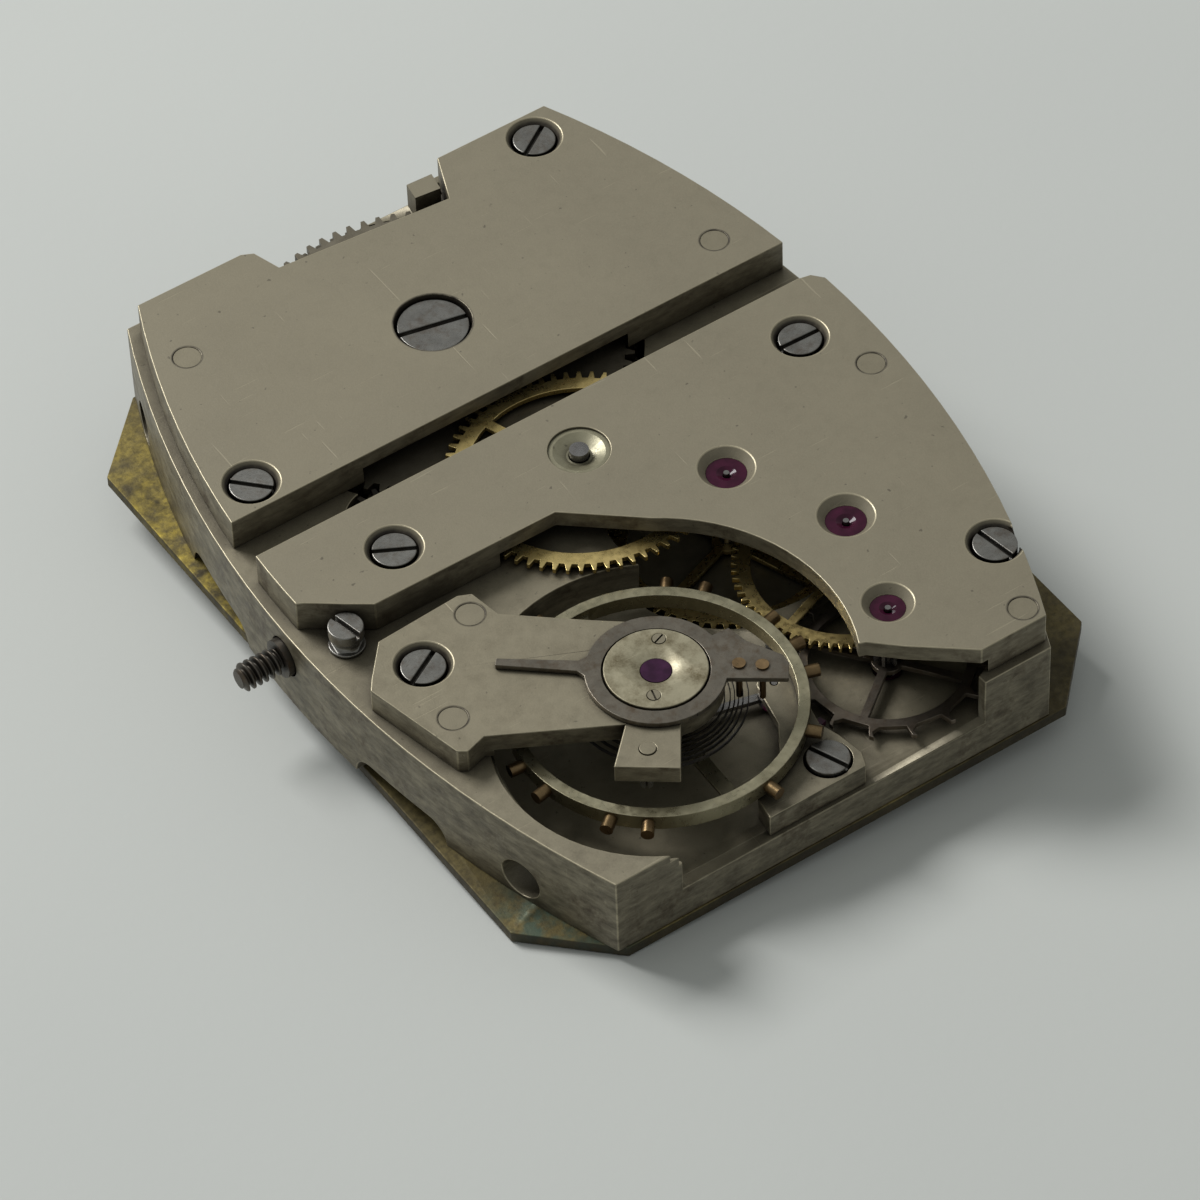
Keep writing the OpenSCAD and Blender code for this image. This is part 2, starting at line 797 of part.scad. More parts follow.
module end_piece() {
    color("#b8b29a")
        difference() {
            post(staff, 1.55, z_cock, z_cock + 0.25);
            post(staff, 0.46, z_cock - eps, z_cock + 0.3);
            place(staff, z_cock + 0.13)
                cylinder(r1 = 0.46, r2 = 0.85, h = 0.12 + eps);
            for (i = [0, 1])
                post(staff + end_screw(i), 0.2, z_cock - eps, z_cock + 0.3);
        }
}

module end_piece_screws() {
    color("#c3c6c9")
        for (i = [0, 1]) {
            post(staff + end_screw(i), 0.2, z_cock, z_cock + 0.26);
            post(staff + end_screw(i), 0.13, z_cock - 0.3, z_cock);
        }
}

module cap_jewel() {
    color("#9c2f7d")
        post(staff, 0.46, z_cock, z_cock + 0.15);
}

module centre_bush() {
    color("#b9b08e")
        difference() {
            post(hand, 0.95, z_web, z_bridge - 0.08);
            post(hand, 0.3 + pivot_gap, z_web - eps, z_bridge);
            place(hand, z_bridge - 0.26)
                cylinder(r1 = 0.4, r2 = 0.85, h = 0.2);
        }
}

module hairspring_stud() {
    color("#a9a38f") {
        post(stud_at, 0.25, z_cock - 0.7, z_cock + 0.04);
        post(stud_at, 0.17, z_spring - 0.13, z_cock - 0.7);
    }
}

module stud_screw() {
    color("#9aa0ab")
        translate([stud_at[0], stud_at[1], z_cock - 0.9])
            rotate([0, 0, angle_of(stud_at - staff)])
                rotate([0, 90, 0])
                    difference() {
                        union() {
                            translate([0, 0, 0.17])
                                cylinder(r = 0.1, h = 0.13);
                            translate([0, 0, 0.3])
                                cylinder(r = 0.19, h = 0.3);
                        }
                        translate([-0.3, -0.03, 0.5])
                            cube([0.6, 0.06, 0.2]);
                    }
}

module setting_cover_plate() {
    color("#a7a294")
        difference() {
            slab(z_cover, z_cover + cover_t) {
                bar(lever_at, [lever_at[0], 0.1], 0.9);
                bar(lever_at, [-6.9, -1.4], 0.9);
                bar([lever_at[0] + 0.3, 0.1], [-6.9, 0.1], 0.8);
                bar([-6.9, -1.4], [-6.9, 0.1], 0.9);
                bar(yoke_at, [-6.9, 0.1], 0.9);
                bar(yoke_at, cover_screws[1], 0.9);
            }
            for (p = cover_screws)
                post(p, 0.3, z_cover - eps, z_cover + 0.12);
            for (p = cover_screws)
                post(p, 0.15, z_cover, z_cover + 1);
        }
}

module small_screws() {
    color("#9aa0ab") {
        for (p = cover_screws) {
            post(p, 0.3, z_cover, z_cover + 0.12);
            post(p, 0.15, z_cover + 0.12, z_keyless + 0.6);
        }
        difference() {
            post(click_at, 0.28, z_ratchet - 0.05, z_ratchet + ratchet_t);
            place(click_at, z_ratchet + 0.15)
                translate([-1, -0.05, 0])
                    cube([2, 0.1, 1]);
        }
        post(click_at, 0.15, z_low + 1.6, z_ratchet - 0.05);
    }
}

module click_spring() {
    color("#8f949c")
        slab(z_ratchet, z_ratchet + 0.18) {
            bar([5.25, 12.72], [4.8, 12.72], 0.4);
            bar([4.8, 12.8], [2.7, 12.98], 0.1);
        }
}

module barrel_drum() {
    color("#a59c86")
        difference() {
            union() {
                place(barrel, z_drum_top - 0.45)
                    linear_extrude(0.45)
                        polygon(teeth(barrel_teeth, barrel_tip, barrel_tip - 2.2 * m_barrel, turn_barrel));
                post(barrel, drum_wall - 0.02, z_drum, z_drum_top, $fn = 144);
            }
            post(barrel, drum_bore, z_drum - eps, z_drum_top - 0.3, $fn = 144);
            post(barrel, 0.84, z_drum, z_drum_top + eps);
        }
}

module barrel_cover() {
    color("#b5a25f")
        difference() {
            post(barrel, drum_bore, z_drum, z_drum + 0.18, $fn = 144);
            post(barrel, 0.84, z_drum - eps, z_drum + 1);
        }
}

// The ribbon spirals from just outside the core to the drum wall
function ribbon(side) = [
    for (i = [0 : 24 * coils])
        at_angle(core_r + 0.12 + side + (drum_bore - core_r - 0.25) * i / (24 * coils), 15 * i)
];

module mainspring() {
    inside = ribbon(-0.05);
    outside = ribbon(0.05);
    color("#7d8288")
        place(barrel, z_drum + 0.24)
            linear_extrude(z_drum_top - z_drum - 0.6)
                polygon(concat(inside, [for (i = [len(outside) - 1 : -1 : 0]) outside[i]]));
}

module barrel_arbor() {
    side = 1;
    color("#8f949c")
        difference() {
            union() {
                post(barrel, 0.55, z_low + 0.2, z_floor + 0.03);
                post(barrel, 0.8, z_floor + 0.03, z_drum_top + 0.03);
                post(barrel, core_r, z_drum + 0.22, z_drum_top - 0.34);
                place(barrel, z_drum_top)
                    translate([-side / 2, -side / 2, 0])
                        cube([side, side, z_top + 0.55 - z_drum_top]);
            }
            post(barrel, 0.35, z_low + 1.6, z_top + 1);
        }
}

module ratchet_wheel() {
    side = 1;
    tip = r_ratchet + m_ratchet;
    color("#9b978c")
        difference() {
            union() {
                place(barrel, z_ratchet)
                    linear_extrude(ratchet_t)
                        polygon(saw(ratchet_teeth, tip, tip - 0.3, turn_ratchet));
                post(barrel, arbor_head_r + 0.02, z_ratchet + 0.1, z_top + 0.68);
            }
            place(barrel, z_ratchet - 1)
                translate([-side / 2, -side / 2, 0])
                    cube([side, side, 3]);
        }
}

module ratchet_screw() {
    color("#9aa0ab")
        screw(barrel, z_bridge - 0.13, arbor_head_r, z_bridge - 0.81 - z_top, 0.35, z_low + 1.6, 0.16, -13);
}

module centre_wheel() {
    root = centre_tip - 2.2 * m_centre;
    color("#c9a94e")
        spoked(
            hand, centre_teeth, centre_tip, root, turn_centre,
            rim = 0.45, hub = 0.85, spokes = 4, width = 0.32, t = wheel_t, z0 = z_centre, hole = 0.35
        );
}

module centre_pinion() {
    color("#8f949c") {
        toothed(hand, centre_leaves, m_barrel, turn_centre, z_drum_top - z_low - 1.9, z_low + 1.9, 0.1);
        post(hand, centre_r, minute_end + 0.15, z_motion + 0.03);
        post(hand, 0.35, z_motion + 0.03, z_low + 1.9);
        post(hand, 0.12, z_low + 1.8, z_drum_top);
        post(hand, 0.45, z_drum_top, z_centre);
        post(hand, 0.35, z_centre, z_web - 0.05);
        post(hand, 0.3, z_web - 0.05, z_bridge + 0.02);
    }
}

module cannon_pinion() {
    color("#8f949c") {
        toothed(hand, 10, m_motion, turn_cannon, 0.24, z_low + 0.28, centre_r);
        difference() {
            union() {
                post(hand, minute_seat_r, minute_end, hour_end - 0.03);
                post(hand, cannon_r, hour_end - 0.03, z_low + 0.28);
            }
            post(hand, centre_r, minute_end - 1, z_low + 1);
        }
    }
}

// Arbor of a train wheel with its two thin pivots
module arbor(p, low, high, r = 0.2) {
    post(p, pivot_r, low - 0.4, low);
    post(p, r, low, high);
    post(p, pivot_r, high, high + 0.42);
}

module third_wheel() {
    root = third_tip - 2.2 * m_third;
    color("#c9a94e")
        spoked(
            third, third_teeth, third_tip, root, turn_third,
            rim = 0.4, hub = 0.5, spokes = 4, width = 0.3, t = wheel_t, z0 = z_third, hole = 0.2
        );
}

module third_pinion() {
    color("#8f949c")
        union() {
            arbor(third, z_low + 0.6, z_web - 0.05);
            toothed(third, third_leaves, m_centre, turn_third_leaves, 0.42, z_top + 0.02, 0.1);
        }
}

module fourth_wheel() {
    root = fourth_tip - 2.2 * m_fourth;
    color("#c9a94e")
        spoked(
            fourth, fourth_teeth, fourth_tip, root, turn_fourth,
            rim = 0.38, hub = 0.5, spokes = 4, width = 0.28, t = wheel_t, z0 = z_fourth, hole = 0.2
        );
}

module fourth_pinion() {
    color("#8f949c")
        union() {
            arbor(fourth, z_low + 0.6, z_web - 0.05);
            toothed(fourth, fourth_leaves, m_third, turn_fourth_leaves, 0.46, z_low + 0.76, 0.1);
        }
}

// Club-toothed outline of the escape wheel
function club(n, tip, turn) = [
    for (i = [0 : n - 1])
        for (k = [[0.86, 0], [0.985, 1.6], [1, 4.4], [0.93, 3], [0.86, 6.5]])
            at_angle(tip * k[0], turn - 3 + i * 360 / n + k[1])
];

module escape_wheel() {
    color("#a9abad")
        place(escape, z_escape)
            linear_extrude(wheel_t)
                difference() {
                    union() {
                        difference() {
                            polygon(club(escape_teeth, escape_tip, turn_escape));
                            circle(r = escape_tip * 0.76, $fn = 96);
                        }
                        circle(r = 0.5);
                        for (i = [0 : 3])
                            rotate(90 * i + 37)
                                translate([0, -0.13])
                                    square([escape_tip * 0.8, 0.26]);
                    }
                    circle(r = 0.2);
                }
}

module escape_pinion() {
    color("#8f949c")
        union() {
            arbor(escape, z_mid - 0.12, z_web - 0.05);
            toothed(escape, escape_leaves, m_fourth, turn_escape_leaves, 0.6, z_fourth - 0.12, 0.1);
        }
}

// One stone in the plane, along the ray from the escape wheel
module stone_outline(side) {
    translate(escape)
        rotate(pallet_turn + side * 30)
            translate([escape_tip - stone_in, -stone_w / 2])
                square([stone_l, stone_w]);
}

module pallet_fork() {
    color("#9da0a4")
        slab(z_escape, z_escape + 0.16)
            difference() {
                union() {
                    for (side = [-1, 1])
                        bar(pallet_at, escape + at_angle(escape_tip + 0.36, pallet_turn + side * 30), 0.42);
                    bar(pallet_at, pallet_at + (fork_reach - 0.35) * pallet_way, 0.26);
                    translate(pallet_at)
                        circle(r = 0.4);
                    translate(pallet_at)
                        rotate(pallet_turn)
                            polygon([
                                [fork_reach - 0.5, -0.13], [fork_reach - 0.15, -0.33],
                                [fork_reach + 0.14, -0.36], [fork_reach + 0.14, 0.36],
                                [fork_reach - 0.15, 0.33], [fork_reach - 0.5, 0.13]
                            ]);
                }
                for (side = [-1, 1])
                    stone_outline(side);
                translate(escape)
                    circle(r = escape_tip + 0.08, $fn = 96);
                translate(pallet_at)
                    circle(r = 0.15);
                translate(pallet_at)
                    rotate(pallet_turn)
                        translate([fork_reach - 0.16, -0.14])
                            square([1, 0.28]);
            }
}

module pallet_stones() {
    color("#b03a6a")
        slab(z_escape - 0.02, z_escape + 0.18)
            for (side = [-1, 1])
                stone_outline(side);
}

module pallet_arbor() {
    color("#8f949c") {
        post(pallet_at, pivot_r, z_mid - 0.47, z_mid - 0.12);
        post(pallet_at, 0.15, z_mid - 0.12, z_mid + 0.47);
        post(pallet_at, pivot_r, z_mid + 0.47, z_pallet_cock - 0.02);
    }
}

module balance_wheel() {
    bottom = z_rim - rim_h;
    color("#c2a353")
        difference() {
            union() {
                difference() {
                    post(staff, balance_r, bottom, z_rim, $fn = 144);
                    post(staff, balance_r - rim_w, bottom - eps, z_rim + eps, $fn = 144);
                }
                post(staff, 0.62, bottom, bottom + 0.15);
                place(staff, bottom)
                    rotate(88)
                        translate([-balance_r + rim_w / 2, -0.24, 0])
                            cube([2 * balance_r - rim_w, 0.48, 0.15]);
            }
            post(staff, 0.3, bottom - eps, z_rim + eps);
        }
}

module balance_screws() {
    color("#cdb05a")
        for (a = rim_screws)
            for (b = [0, 180])
                place(staff, z_rim - rim_h / 2)
                    rotate([0, 90, a + b]) {
                        translate([0, 0, balance_r - 0.3])
                            cylinder(r = 0.1, h = 0.3, $fn = 24);
                        translate([0, 0, balance_r - 0.02])
                            cylinder(r = 0.2, h = head_reach + 0.02, $fn = 24);
                    }
}

module balance_staff() {
    bottom = z_rim - rim_h;
    color("#8f949c") {
        post(staff, pivot_r, z_low + 0.52, z_low + 1);
        post(staff, 0.2, z_low + 1, bottom);
        post(staff, 0.3, bottom, bottom + 0.35);
        post(staff, 0.25, bottom + 0.35, z_top + 0.02);
        post(staff, 0.15, z_top + 0.02, z_cock - 0.6);
        post(staff, pivot_r, z_cock - 0.6, z_cock - 0.15);
    }
}

module roller_table() {
    color("#8f949c")
        difference() {
            post(staff, 0.95, z_roller, z_roller + 0.15);
            post(staff, 0.2, z_roller - eps, z_roller + 1);
        }
}

module impulse_jewel() {
    color("#b03a6a")
        post(staff + at_angle(impulse_r, jewel_way), 0.1, z_escape - 0.05, z_roller);
}

module hairspring_collet() {
    color("#c2a353")
        difference() {
            post(staff, 0.5, z_spring - 0.13, z_spring + 0.13);
            post(staff, 0.25, z_spring - 1, z_spring + 1);
        }
}

// Row of points along the hairspring, from the collet to the stud
spring_wire = 0.04;
spring_in = 0.54;
spring_rings = round(24 * spring_turns);
spring_row = [
    for (i = [0 : spring_rings])
        let (
            r = spring_in + (spring_r - spring_in) * i / spring_rings,
            a = angle_of(stud_at - staff) + 360 * spring_turns * (1 - i / spring_rings)
        )
        [r * cos(a), r * sin(a), 0]
];
// Least gap between one turn and the next, measured on the points
spring_gap = min([
    for (i = [0 : spring_rings - 24])
        for (k = [20 : min(28, spring_rings - i)])
            norm(spring_row[i + k] - spring_row[i])
]) - 2 * spring_wire;
echo(hairspring_gap = spring_gap);

module hairspring() {
    color("#8b93a6")
        place(staff, z_spring)
            polyhedron(ring_points(spring_row, spring_wire), tube_faces(len(spring_row)), convexity = 10);
}

module regulator() {
    t = 0.18;
    color("#9da0a4")
        place(staff, z_cock + 0.02)
            difference() {
                union() {
                    cylinder(r = 2.1, h = t, $fn = 96);
                    rotate(140.5)
                        linear_extrude(t)
                            polygon([
                                [1.9, -0.5], [2.3, -0.2], [4.7, -0.13],
                                [4.7, 0.13], [2.3, 0.2], [1.9, 0.5]
                            ]);
                    linear_extrude(t)
                        polygon([
                            at_angle(1.9, 5), at_angle(2.65, 2), at_angle(2.85, -13),
                            at_angle(3.74, -27), at_angle(3.88, -32), at_angle(3.89, -41),
                            at_angle(2.11, -45), at_angle(1.9, -60)
                        ]);
                }
                translate([0, 0, -1])
                    cylinder(r = 1.6, h = 3, $fn = 96);
                for (p = curb_at)
                    translate([p[0], p[1], -1])
                        cylinder(r = 0.1, h = 3);
            }
}

module curb_pins() {
    color("#b9a765")
        for (p = curb_at) {
            post(staff + p, 0.1, z_spring - 0.12, z_cock + 0.2);
            post(staff + p, 0.2, z_cock + 0.2, z_cock + 0.26);
        }
}

module crown_wheel() {
    color("#8f949c")
        toothed(crown, crown_teeth, m_ratchet, turn_crown, ratchet_t, z_ratchet, 0.58);
}

module intermediate_wheel() {
    color("#8f949c")
        toothed(idle_at, idle_teeth, m_ratchet, turn_idle, ratchet_t, z_ratchet, 0.33);
}

// Round piece along the stem between two stations
module along(x0, x1, r) {
    translate([x0, 0, z_stem])
        rotate([0, 90, 0])
            cylinder(r = r, h = x1 - x0);
}

module winding_stem() {
    groove0 = lever_at[0] - peg_r - 0.05;
    groove1 = lever_at[0] + peg_r + 0.05;
    color("#6f6a60") {
        along(stem_end, thread_end, thread_root);
        for (i = [0 : floor((thread_end - stem_end) / thread_pitch) - 1])
            along(stem_end + i * thread_pitch, stem_end + (i + 0.55) * thread_pitch, thread_r);
        along(thread_end, groove0, journal_r);
        along(groove0, groove1, 0.3);
        along(groove1, journal_in, journal_r);
        along(journal_in, winding_x[1], stem_neck);
        translate([winding_x[1], -stem_square / 2, z_stem - stem_square / 2])
            cube([square_in - winding_x[1], stem_square, stem_square]);
        along(square_in, pivot_in, 0.25);
    }
}

// Toothed outline stood up along the stem
module crosswise(x0, x1, n, tip, root) {
    translate([x0, 0, z_stem])
        rotate([0, 90, 0])
            linear_extrude(x1 - x0)
                polygon(teeth(n, tip, root));
}

module winding_pinion() {
    color("#8f949c")
        difference() {
            crosswise(winding_x[0], winding_x[1], 12, winding_r, winding_r - 0.2);
            along(winding_x[0] - 1, winding_x[1] + 1, stem_neck + slide_gap);
        }
}

module sliding_pinion() {
    hole = stem_square + 2 * slide_gap;
    color("#8f949c")
        difference() {
            union() {
                along(sliding_x[0], clutch_groove[0], sliding_r);
                along(clutch_groove[0], clutch_groove[1], 0.5);
                along(clutch_groove[1], sliding_x[1] - 0.3, sliding_r - 0.1);
                crosswise(sliding_x[1] - 0.3, sliding_x[1], 12, sliding_r, sliding_r - 0.18);
            }
            translate([sliding_x[0] - 1, -hole / 2, z_stem - hole / 2])
                cube([4, hole, hole]);
        }
}

module setting_lever() {
    peg = [lever_at[0], 0];
    color("#8f949c")
        difference() {
            union() {
                slab(z_lever, z_lever + lever_t) {
                    bar(lever_at, peg, 0.4);
                    translate(lever_at)
                        circle(r = 0.5);
                    bar(lever_at, lever_at + [0.9, -0.1], 0.4);
                }
                post(peg, peg_r, z_lever, z_stem - 0.35);
            }
            post(lever_at, 0.3, z_lever - eps, z_lever + lever_t + eps);
        }
}

module setting_lever_screw() {
    color("#8a8d92") {
        post(lever_at, 0.3, z_lever, z_lever + lever_t);
        post(lever_at, 0.35, z_lever + lever_t, z_top + 0.02);
        post(lever_at, 0.56, z_top + 0.02, z_top + 0.12);
        post(lever_at, 0.4, z_top + 0.12, z_top + 0.5);
        screw(lever_at, z_top + 0.88, 0.54, 0.38, 0.4, z_top + 0.5, 0.14, -78);
    }
}

module yoke() {
    peg = [yoke_at[0], 0];
    color("#8f949c")
        difference() {
            union() {
                slab(z_lever, z_lever + lever_t) {
                    bar(yoke_at, peg, 0.36);
                    translate(yoke_at)
                        circle(r = 0.45);
                }
                post(peg, clutch_peg_r, z_lever, z_stem - 0.57);
            }
            post(yoke_at, 0.28, z_lever - eps, z_lever + lever_t + eps);
        }
}

module click() {
    color("#a49d90") {
        slab(z_ratchet, z_ratchet + ratchet_t)
            difference() {
                union() {
                    translate(click_at)
                        circle(r = 0.54);
                    polygon([
                        [4.6, 12.3], [4.1, 11.48], [3.4, 11.97], beak + [0.11, 0.12], beak,
                        beak + [-0.12, 0.25], beak + [-0.2, 0.5], [3.1, 12.72]
                    ]);
                }
                translate(click_at)
                    circle(r = 0.31);
            }
        slab(z_ratchet + ratchet_t - eps, z_top + 0.05)
            polygon([[2.6, 12.5], [2.95, 12.45], [3, 12.7], [2.6, 12.75]]);
        slab(z_top + 0.05, z_bridge - 0.17)
            polygon([[2.05, 12.1], [2.93, 12], [3.05, 12.7], [2.15, 12.75]]);
    }
}

module minute_wheel() {
    color("#c9a94e") {
        toothed(minute_at, 30, m_motion, turn_minute, 0.2, z_low + 0.3, 0.33);
        toothed(minute_at, 8, m_motion, turn_minute, 0.25, z_low + 0.05, 0.33, 0.9, 0.9);
    }
}

module hour_wheel() {
    color("#c9a94e") {
        toothed(hand, 32, m_motion, turn_hour, 0.14, z_low + 0.06, cannon_r + slide_gap);
        difference() {
            union() {
                post(hand, hour_seat_r, hour_end, 0);
                post(hand, shoulder_r, 0, z_low + 0.06);
            }
            post(hand, cannon_r + slide_gap, hour_end - 1, z_low + 1);
        }
    }
}

module setting_wheel() {
    color("#8f949c")
        toothed(setting_at, 14, m_motion, turn_setting, 0.7, z_low + 0.3, 0.33);
}

main_plate();
dial();
dial_foot_screws();
barrel_bridge();
train_bridge();
bridge_screws();
balance_cock();
pallet_cock();
pallet_cock_screw();
steady_pins();
train_jewels();
balance_jewels();
end_piece();
end_piece_screws();
cap_jewel();
centre_bush();
hairspring_stud();
stud_screw();
setting_cover_plate();
small_screws();
click_spring();
barrel_drum();
barrel_cover();
mainspring();
barrel_arbor();
ratchet_wheel();
ratchet_screw();
centre_wheel();
centre_pinion();
cannon_pinion();
third_wheel();
third_pinion();
fourth_wheel();
fourth_pinion();
escape_wheel();
escape_pinion();
pallet_fork();
pallet_stones();
pallet_arbor();
balance_wheel();
balance_screws();
balance_staff();
roller_table();
impulse_jewel();
hairspring_collet();
hairspring();
regulator();
curb_pins();
crown_wheel();
intermediate_wheel();
winding_stem();
winding_pinion();
sliding_pinion();
setting_lever();
setting_lever_screw();
yoke();
click();
minute_wheel();
hour_wheel();
setting_wheel();
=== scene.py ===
import json
import math

import bmesh
import bpy
from mathutils import Matrix, Vector


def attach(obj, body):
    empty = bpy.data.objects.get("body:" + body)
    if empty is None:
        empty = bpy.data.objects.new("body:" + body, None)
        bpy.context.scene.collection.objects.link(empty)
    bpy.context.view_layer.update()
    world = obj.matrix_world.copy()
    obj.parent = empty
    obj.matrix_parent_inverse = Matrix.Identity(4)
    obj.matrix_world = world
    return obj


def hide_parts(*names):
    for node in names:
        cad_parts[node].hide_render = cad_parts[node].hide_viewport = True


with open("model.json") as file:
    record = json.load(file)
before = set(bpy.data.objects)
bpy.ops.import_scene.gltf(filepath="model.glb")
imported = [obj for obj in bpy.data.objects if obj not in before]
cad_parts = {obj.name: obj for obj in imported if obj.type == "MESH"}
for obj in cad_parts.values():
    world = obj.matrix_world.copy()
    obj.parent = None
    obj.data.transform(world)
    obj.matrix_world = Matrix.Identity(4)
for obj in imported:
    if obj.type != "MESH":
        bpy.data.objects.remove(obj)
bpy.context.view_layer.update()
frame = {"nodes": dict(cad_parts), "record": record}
scene = bpy.context.scene
# Lengths are written in millimetres and turned into Blender's metres where they are used
MM = 0.001
NODE_BODY = {
    member: body
    for body, members in frame["record"]["behaviour"]["bodies"].items()
    for member in members
}

# Camera of the photograph, fitted to known points: angles in degrees, and the place in the
# picture of the point where the hand axis leaves the bridges
HEADING, ELEVATION, ROLL = 32.539, 47.728, -2.509
DISTANCE = 195.195
PHOTO_PX = 1200
FOCAL_PX = 6500
AIM_PX = (579, 449.5)
SENSOR = 36

# Axes in the plan
BARREL = (-0.59, 7.08)
STAFF = (-3.13, -8.57)
STUD = (-4.97, -10.8)
BRIDGE_PINS = [(8.42, 4.93), (-7.49, 10.25), (9.22, -2.22), (6.92, -12.94)]
BRIDGE_SCREWS = [
    (6.49, 12.04), (-8.71, 4.67), (8.14, -0.02), (7.86, -10.32), (-6.69, -0.07),
]
COCK_PINS = [(-6.23, -3.43), (-8.88, -6.53)]
COCK_SCREW = (-8.43, -4.26)

# Levels of the upper faces and of the stem's axis, from the outer face of the dial
BRIDGE = 4.55
COCK = 4.3
STEM_LEVEL = 2.25

# Dirty joints round the pins, the screw sinks and the barrel's big head: centre and radius
PIN_R = 0.43
SINK_R = 0.76
BARREL_HEAD_R = 1.2
RING_W = 0.085
BRIDGE_RINGS = (
    [(p, PIN_R) for p in BRIDGE_PINS]
    + [(p, SINK_R) for p in BRIDGE_SCREWS]
    + [(BARREL, BARREL_HEAD_R)]
)
COCK_RINGS = [(p, PIN_R) for p in COCK_PINS] + [(COCK_SCREW, SINK_R)]

# Width of the broken edges on the large pieces and on the thin ones
EDGE = 0.035
FINE_EDGE = 0.02
HARD_EDGE_DEG = 35
FLAT_DEG = 0.5
WELD = 0.002
EDGES_BROKEN = {
    EDGE: (
        "main_plate", "barrel_bridge", "train_bridge", "balance_cock", "pallet_cock",
        "bridge_screws", "ratchet_screw", "pallet_cock_screw", "setting_lever_screw",
        "end_piece", "dial",
    ),
    FINE_EDGE: (
        "regulator", "stud_screw", "balance_wheel", "centre_wheel", "fourth_wheel",
        "third_wheel", "escape_wheel", "hairspring_stud",
    ),
}
# Pieces whose broken edges get a lighter material: rubbed wear with a painted highlight
RUBBED_AND_HIGHLIT = ("main_plate", "barrel_bridge", "train_bridge", "balance_cock", "pallet_cock")

# Colours of the metals, of the dirt on them, and of painted shade in corners and on upright walls
NICKEL = (0.225, 0.199, 0.138)
NICKEL_DARK = (0.11, 0.09, 0.055)
SPECK = (0.06, 0.05, 0.035)
# Painted shade for the upright walls of the plates, laid on in brown patches
WALL_SHADE = (0.05, 0.032, 0.016)
RING_GRIME = (0.028, 0.022, 0.016)
# Painted shade for corners and recesses of the plates
PLATE_CORNER_SHADE = (0.022, 0.017, 0.011)
STEEL_STAIN = (0.10, 0.06, 0.03)
# Painted shade for corners of the steel parts
STEEL_CORNER_SHADE = (0.015, 0.012, 0.009)
# Painted shade for corners of the brass parts
BRASS_CORNER_SHADE = (0.03, 0.022, 0.01)
DIAL_GRIME = (0.035, 0.026, 0.010)
# Painted shade for the upright faces of the dial
DIAL_WALL_SHADE = (0.025, 0.02, 0.012)
DIAL_BROWN = (0.05, 0.038, 0.012)
DIAL_OLIVE = (0.21, 0.165, 0.06)
DIAL_YELLOW = (0.46, 0.35, 0.05)
DIAL_GREEN = (0.055, 0.10, 0.075)
PAPER = (0.56, 0.575, 0.55)
PAPER_PALE = (0.585, 0.60, 0.57)
SKY = (0.80, 0.83, 0.82, 1)
SKY_STRENGTH = 0.41


def make_camera():
    """The photograph's camera, found by fitting a pinhole camera to known points."""
    heading, elevation, roll = (math.radians(a) for a in (HEADING, ELEVATION, ROLL))
    flat = math.cos(elevation)
    forward = Vector((
        flat * math.sin(heading), flat * math.cos(heading), -math.sin(elevation),
    ))
    right = Vector((math.cos(heading), -math.sin(heading), 0))
    up = right.cross(forward)
    right_rolled = math.cos(roll) * right + math.sin(roll) * up
    up_rolled = -math.sin(roll) * right + math.cos(roll) * up
    off_x, off_y = ((aim - PHOTO_PX / 2) / FOCAL_PX for aim in AIM_PX)
    ray = forward + off_x * right_rolled - off_y * up_rolled
    place = Vector((0, 0, BRIDGE)) - DISTANCE * ray
    data = bpy.data.cameras.new("camera")
    data.sensor_width = SENSOR
    data.sensor_fit = "HORIZONTAL"
    data.lens = SENSOR * FOCAL_PX / PHOTO_PX
    data.clip_start = 0.01
    data.clip_end = 5
    camera = bpy.data.objects.new("camera", data)
    turn = Matrix((right_rolled, up_rolled, -forward)).transposed().to_4x4()
    camera.matrix_world = Matrix.Translation(place * MM) @ turn
    scene.collection.objects.link(camera)
    scene.camera = camera


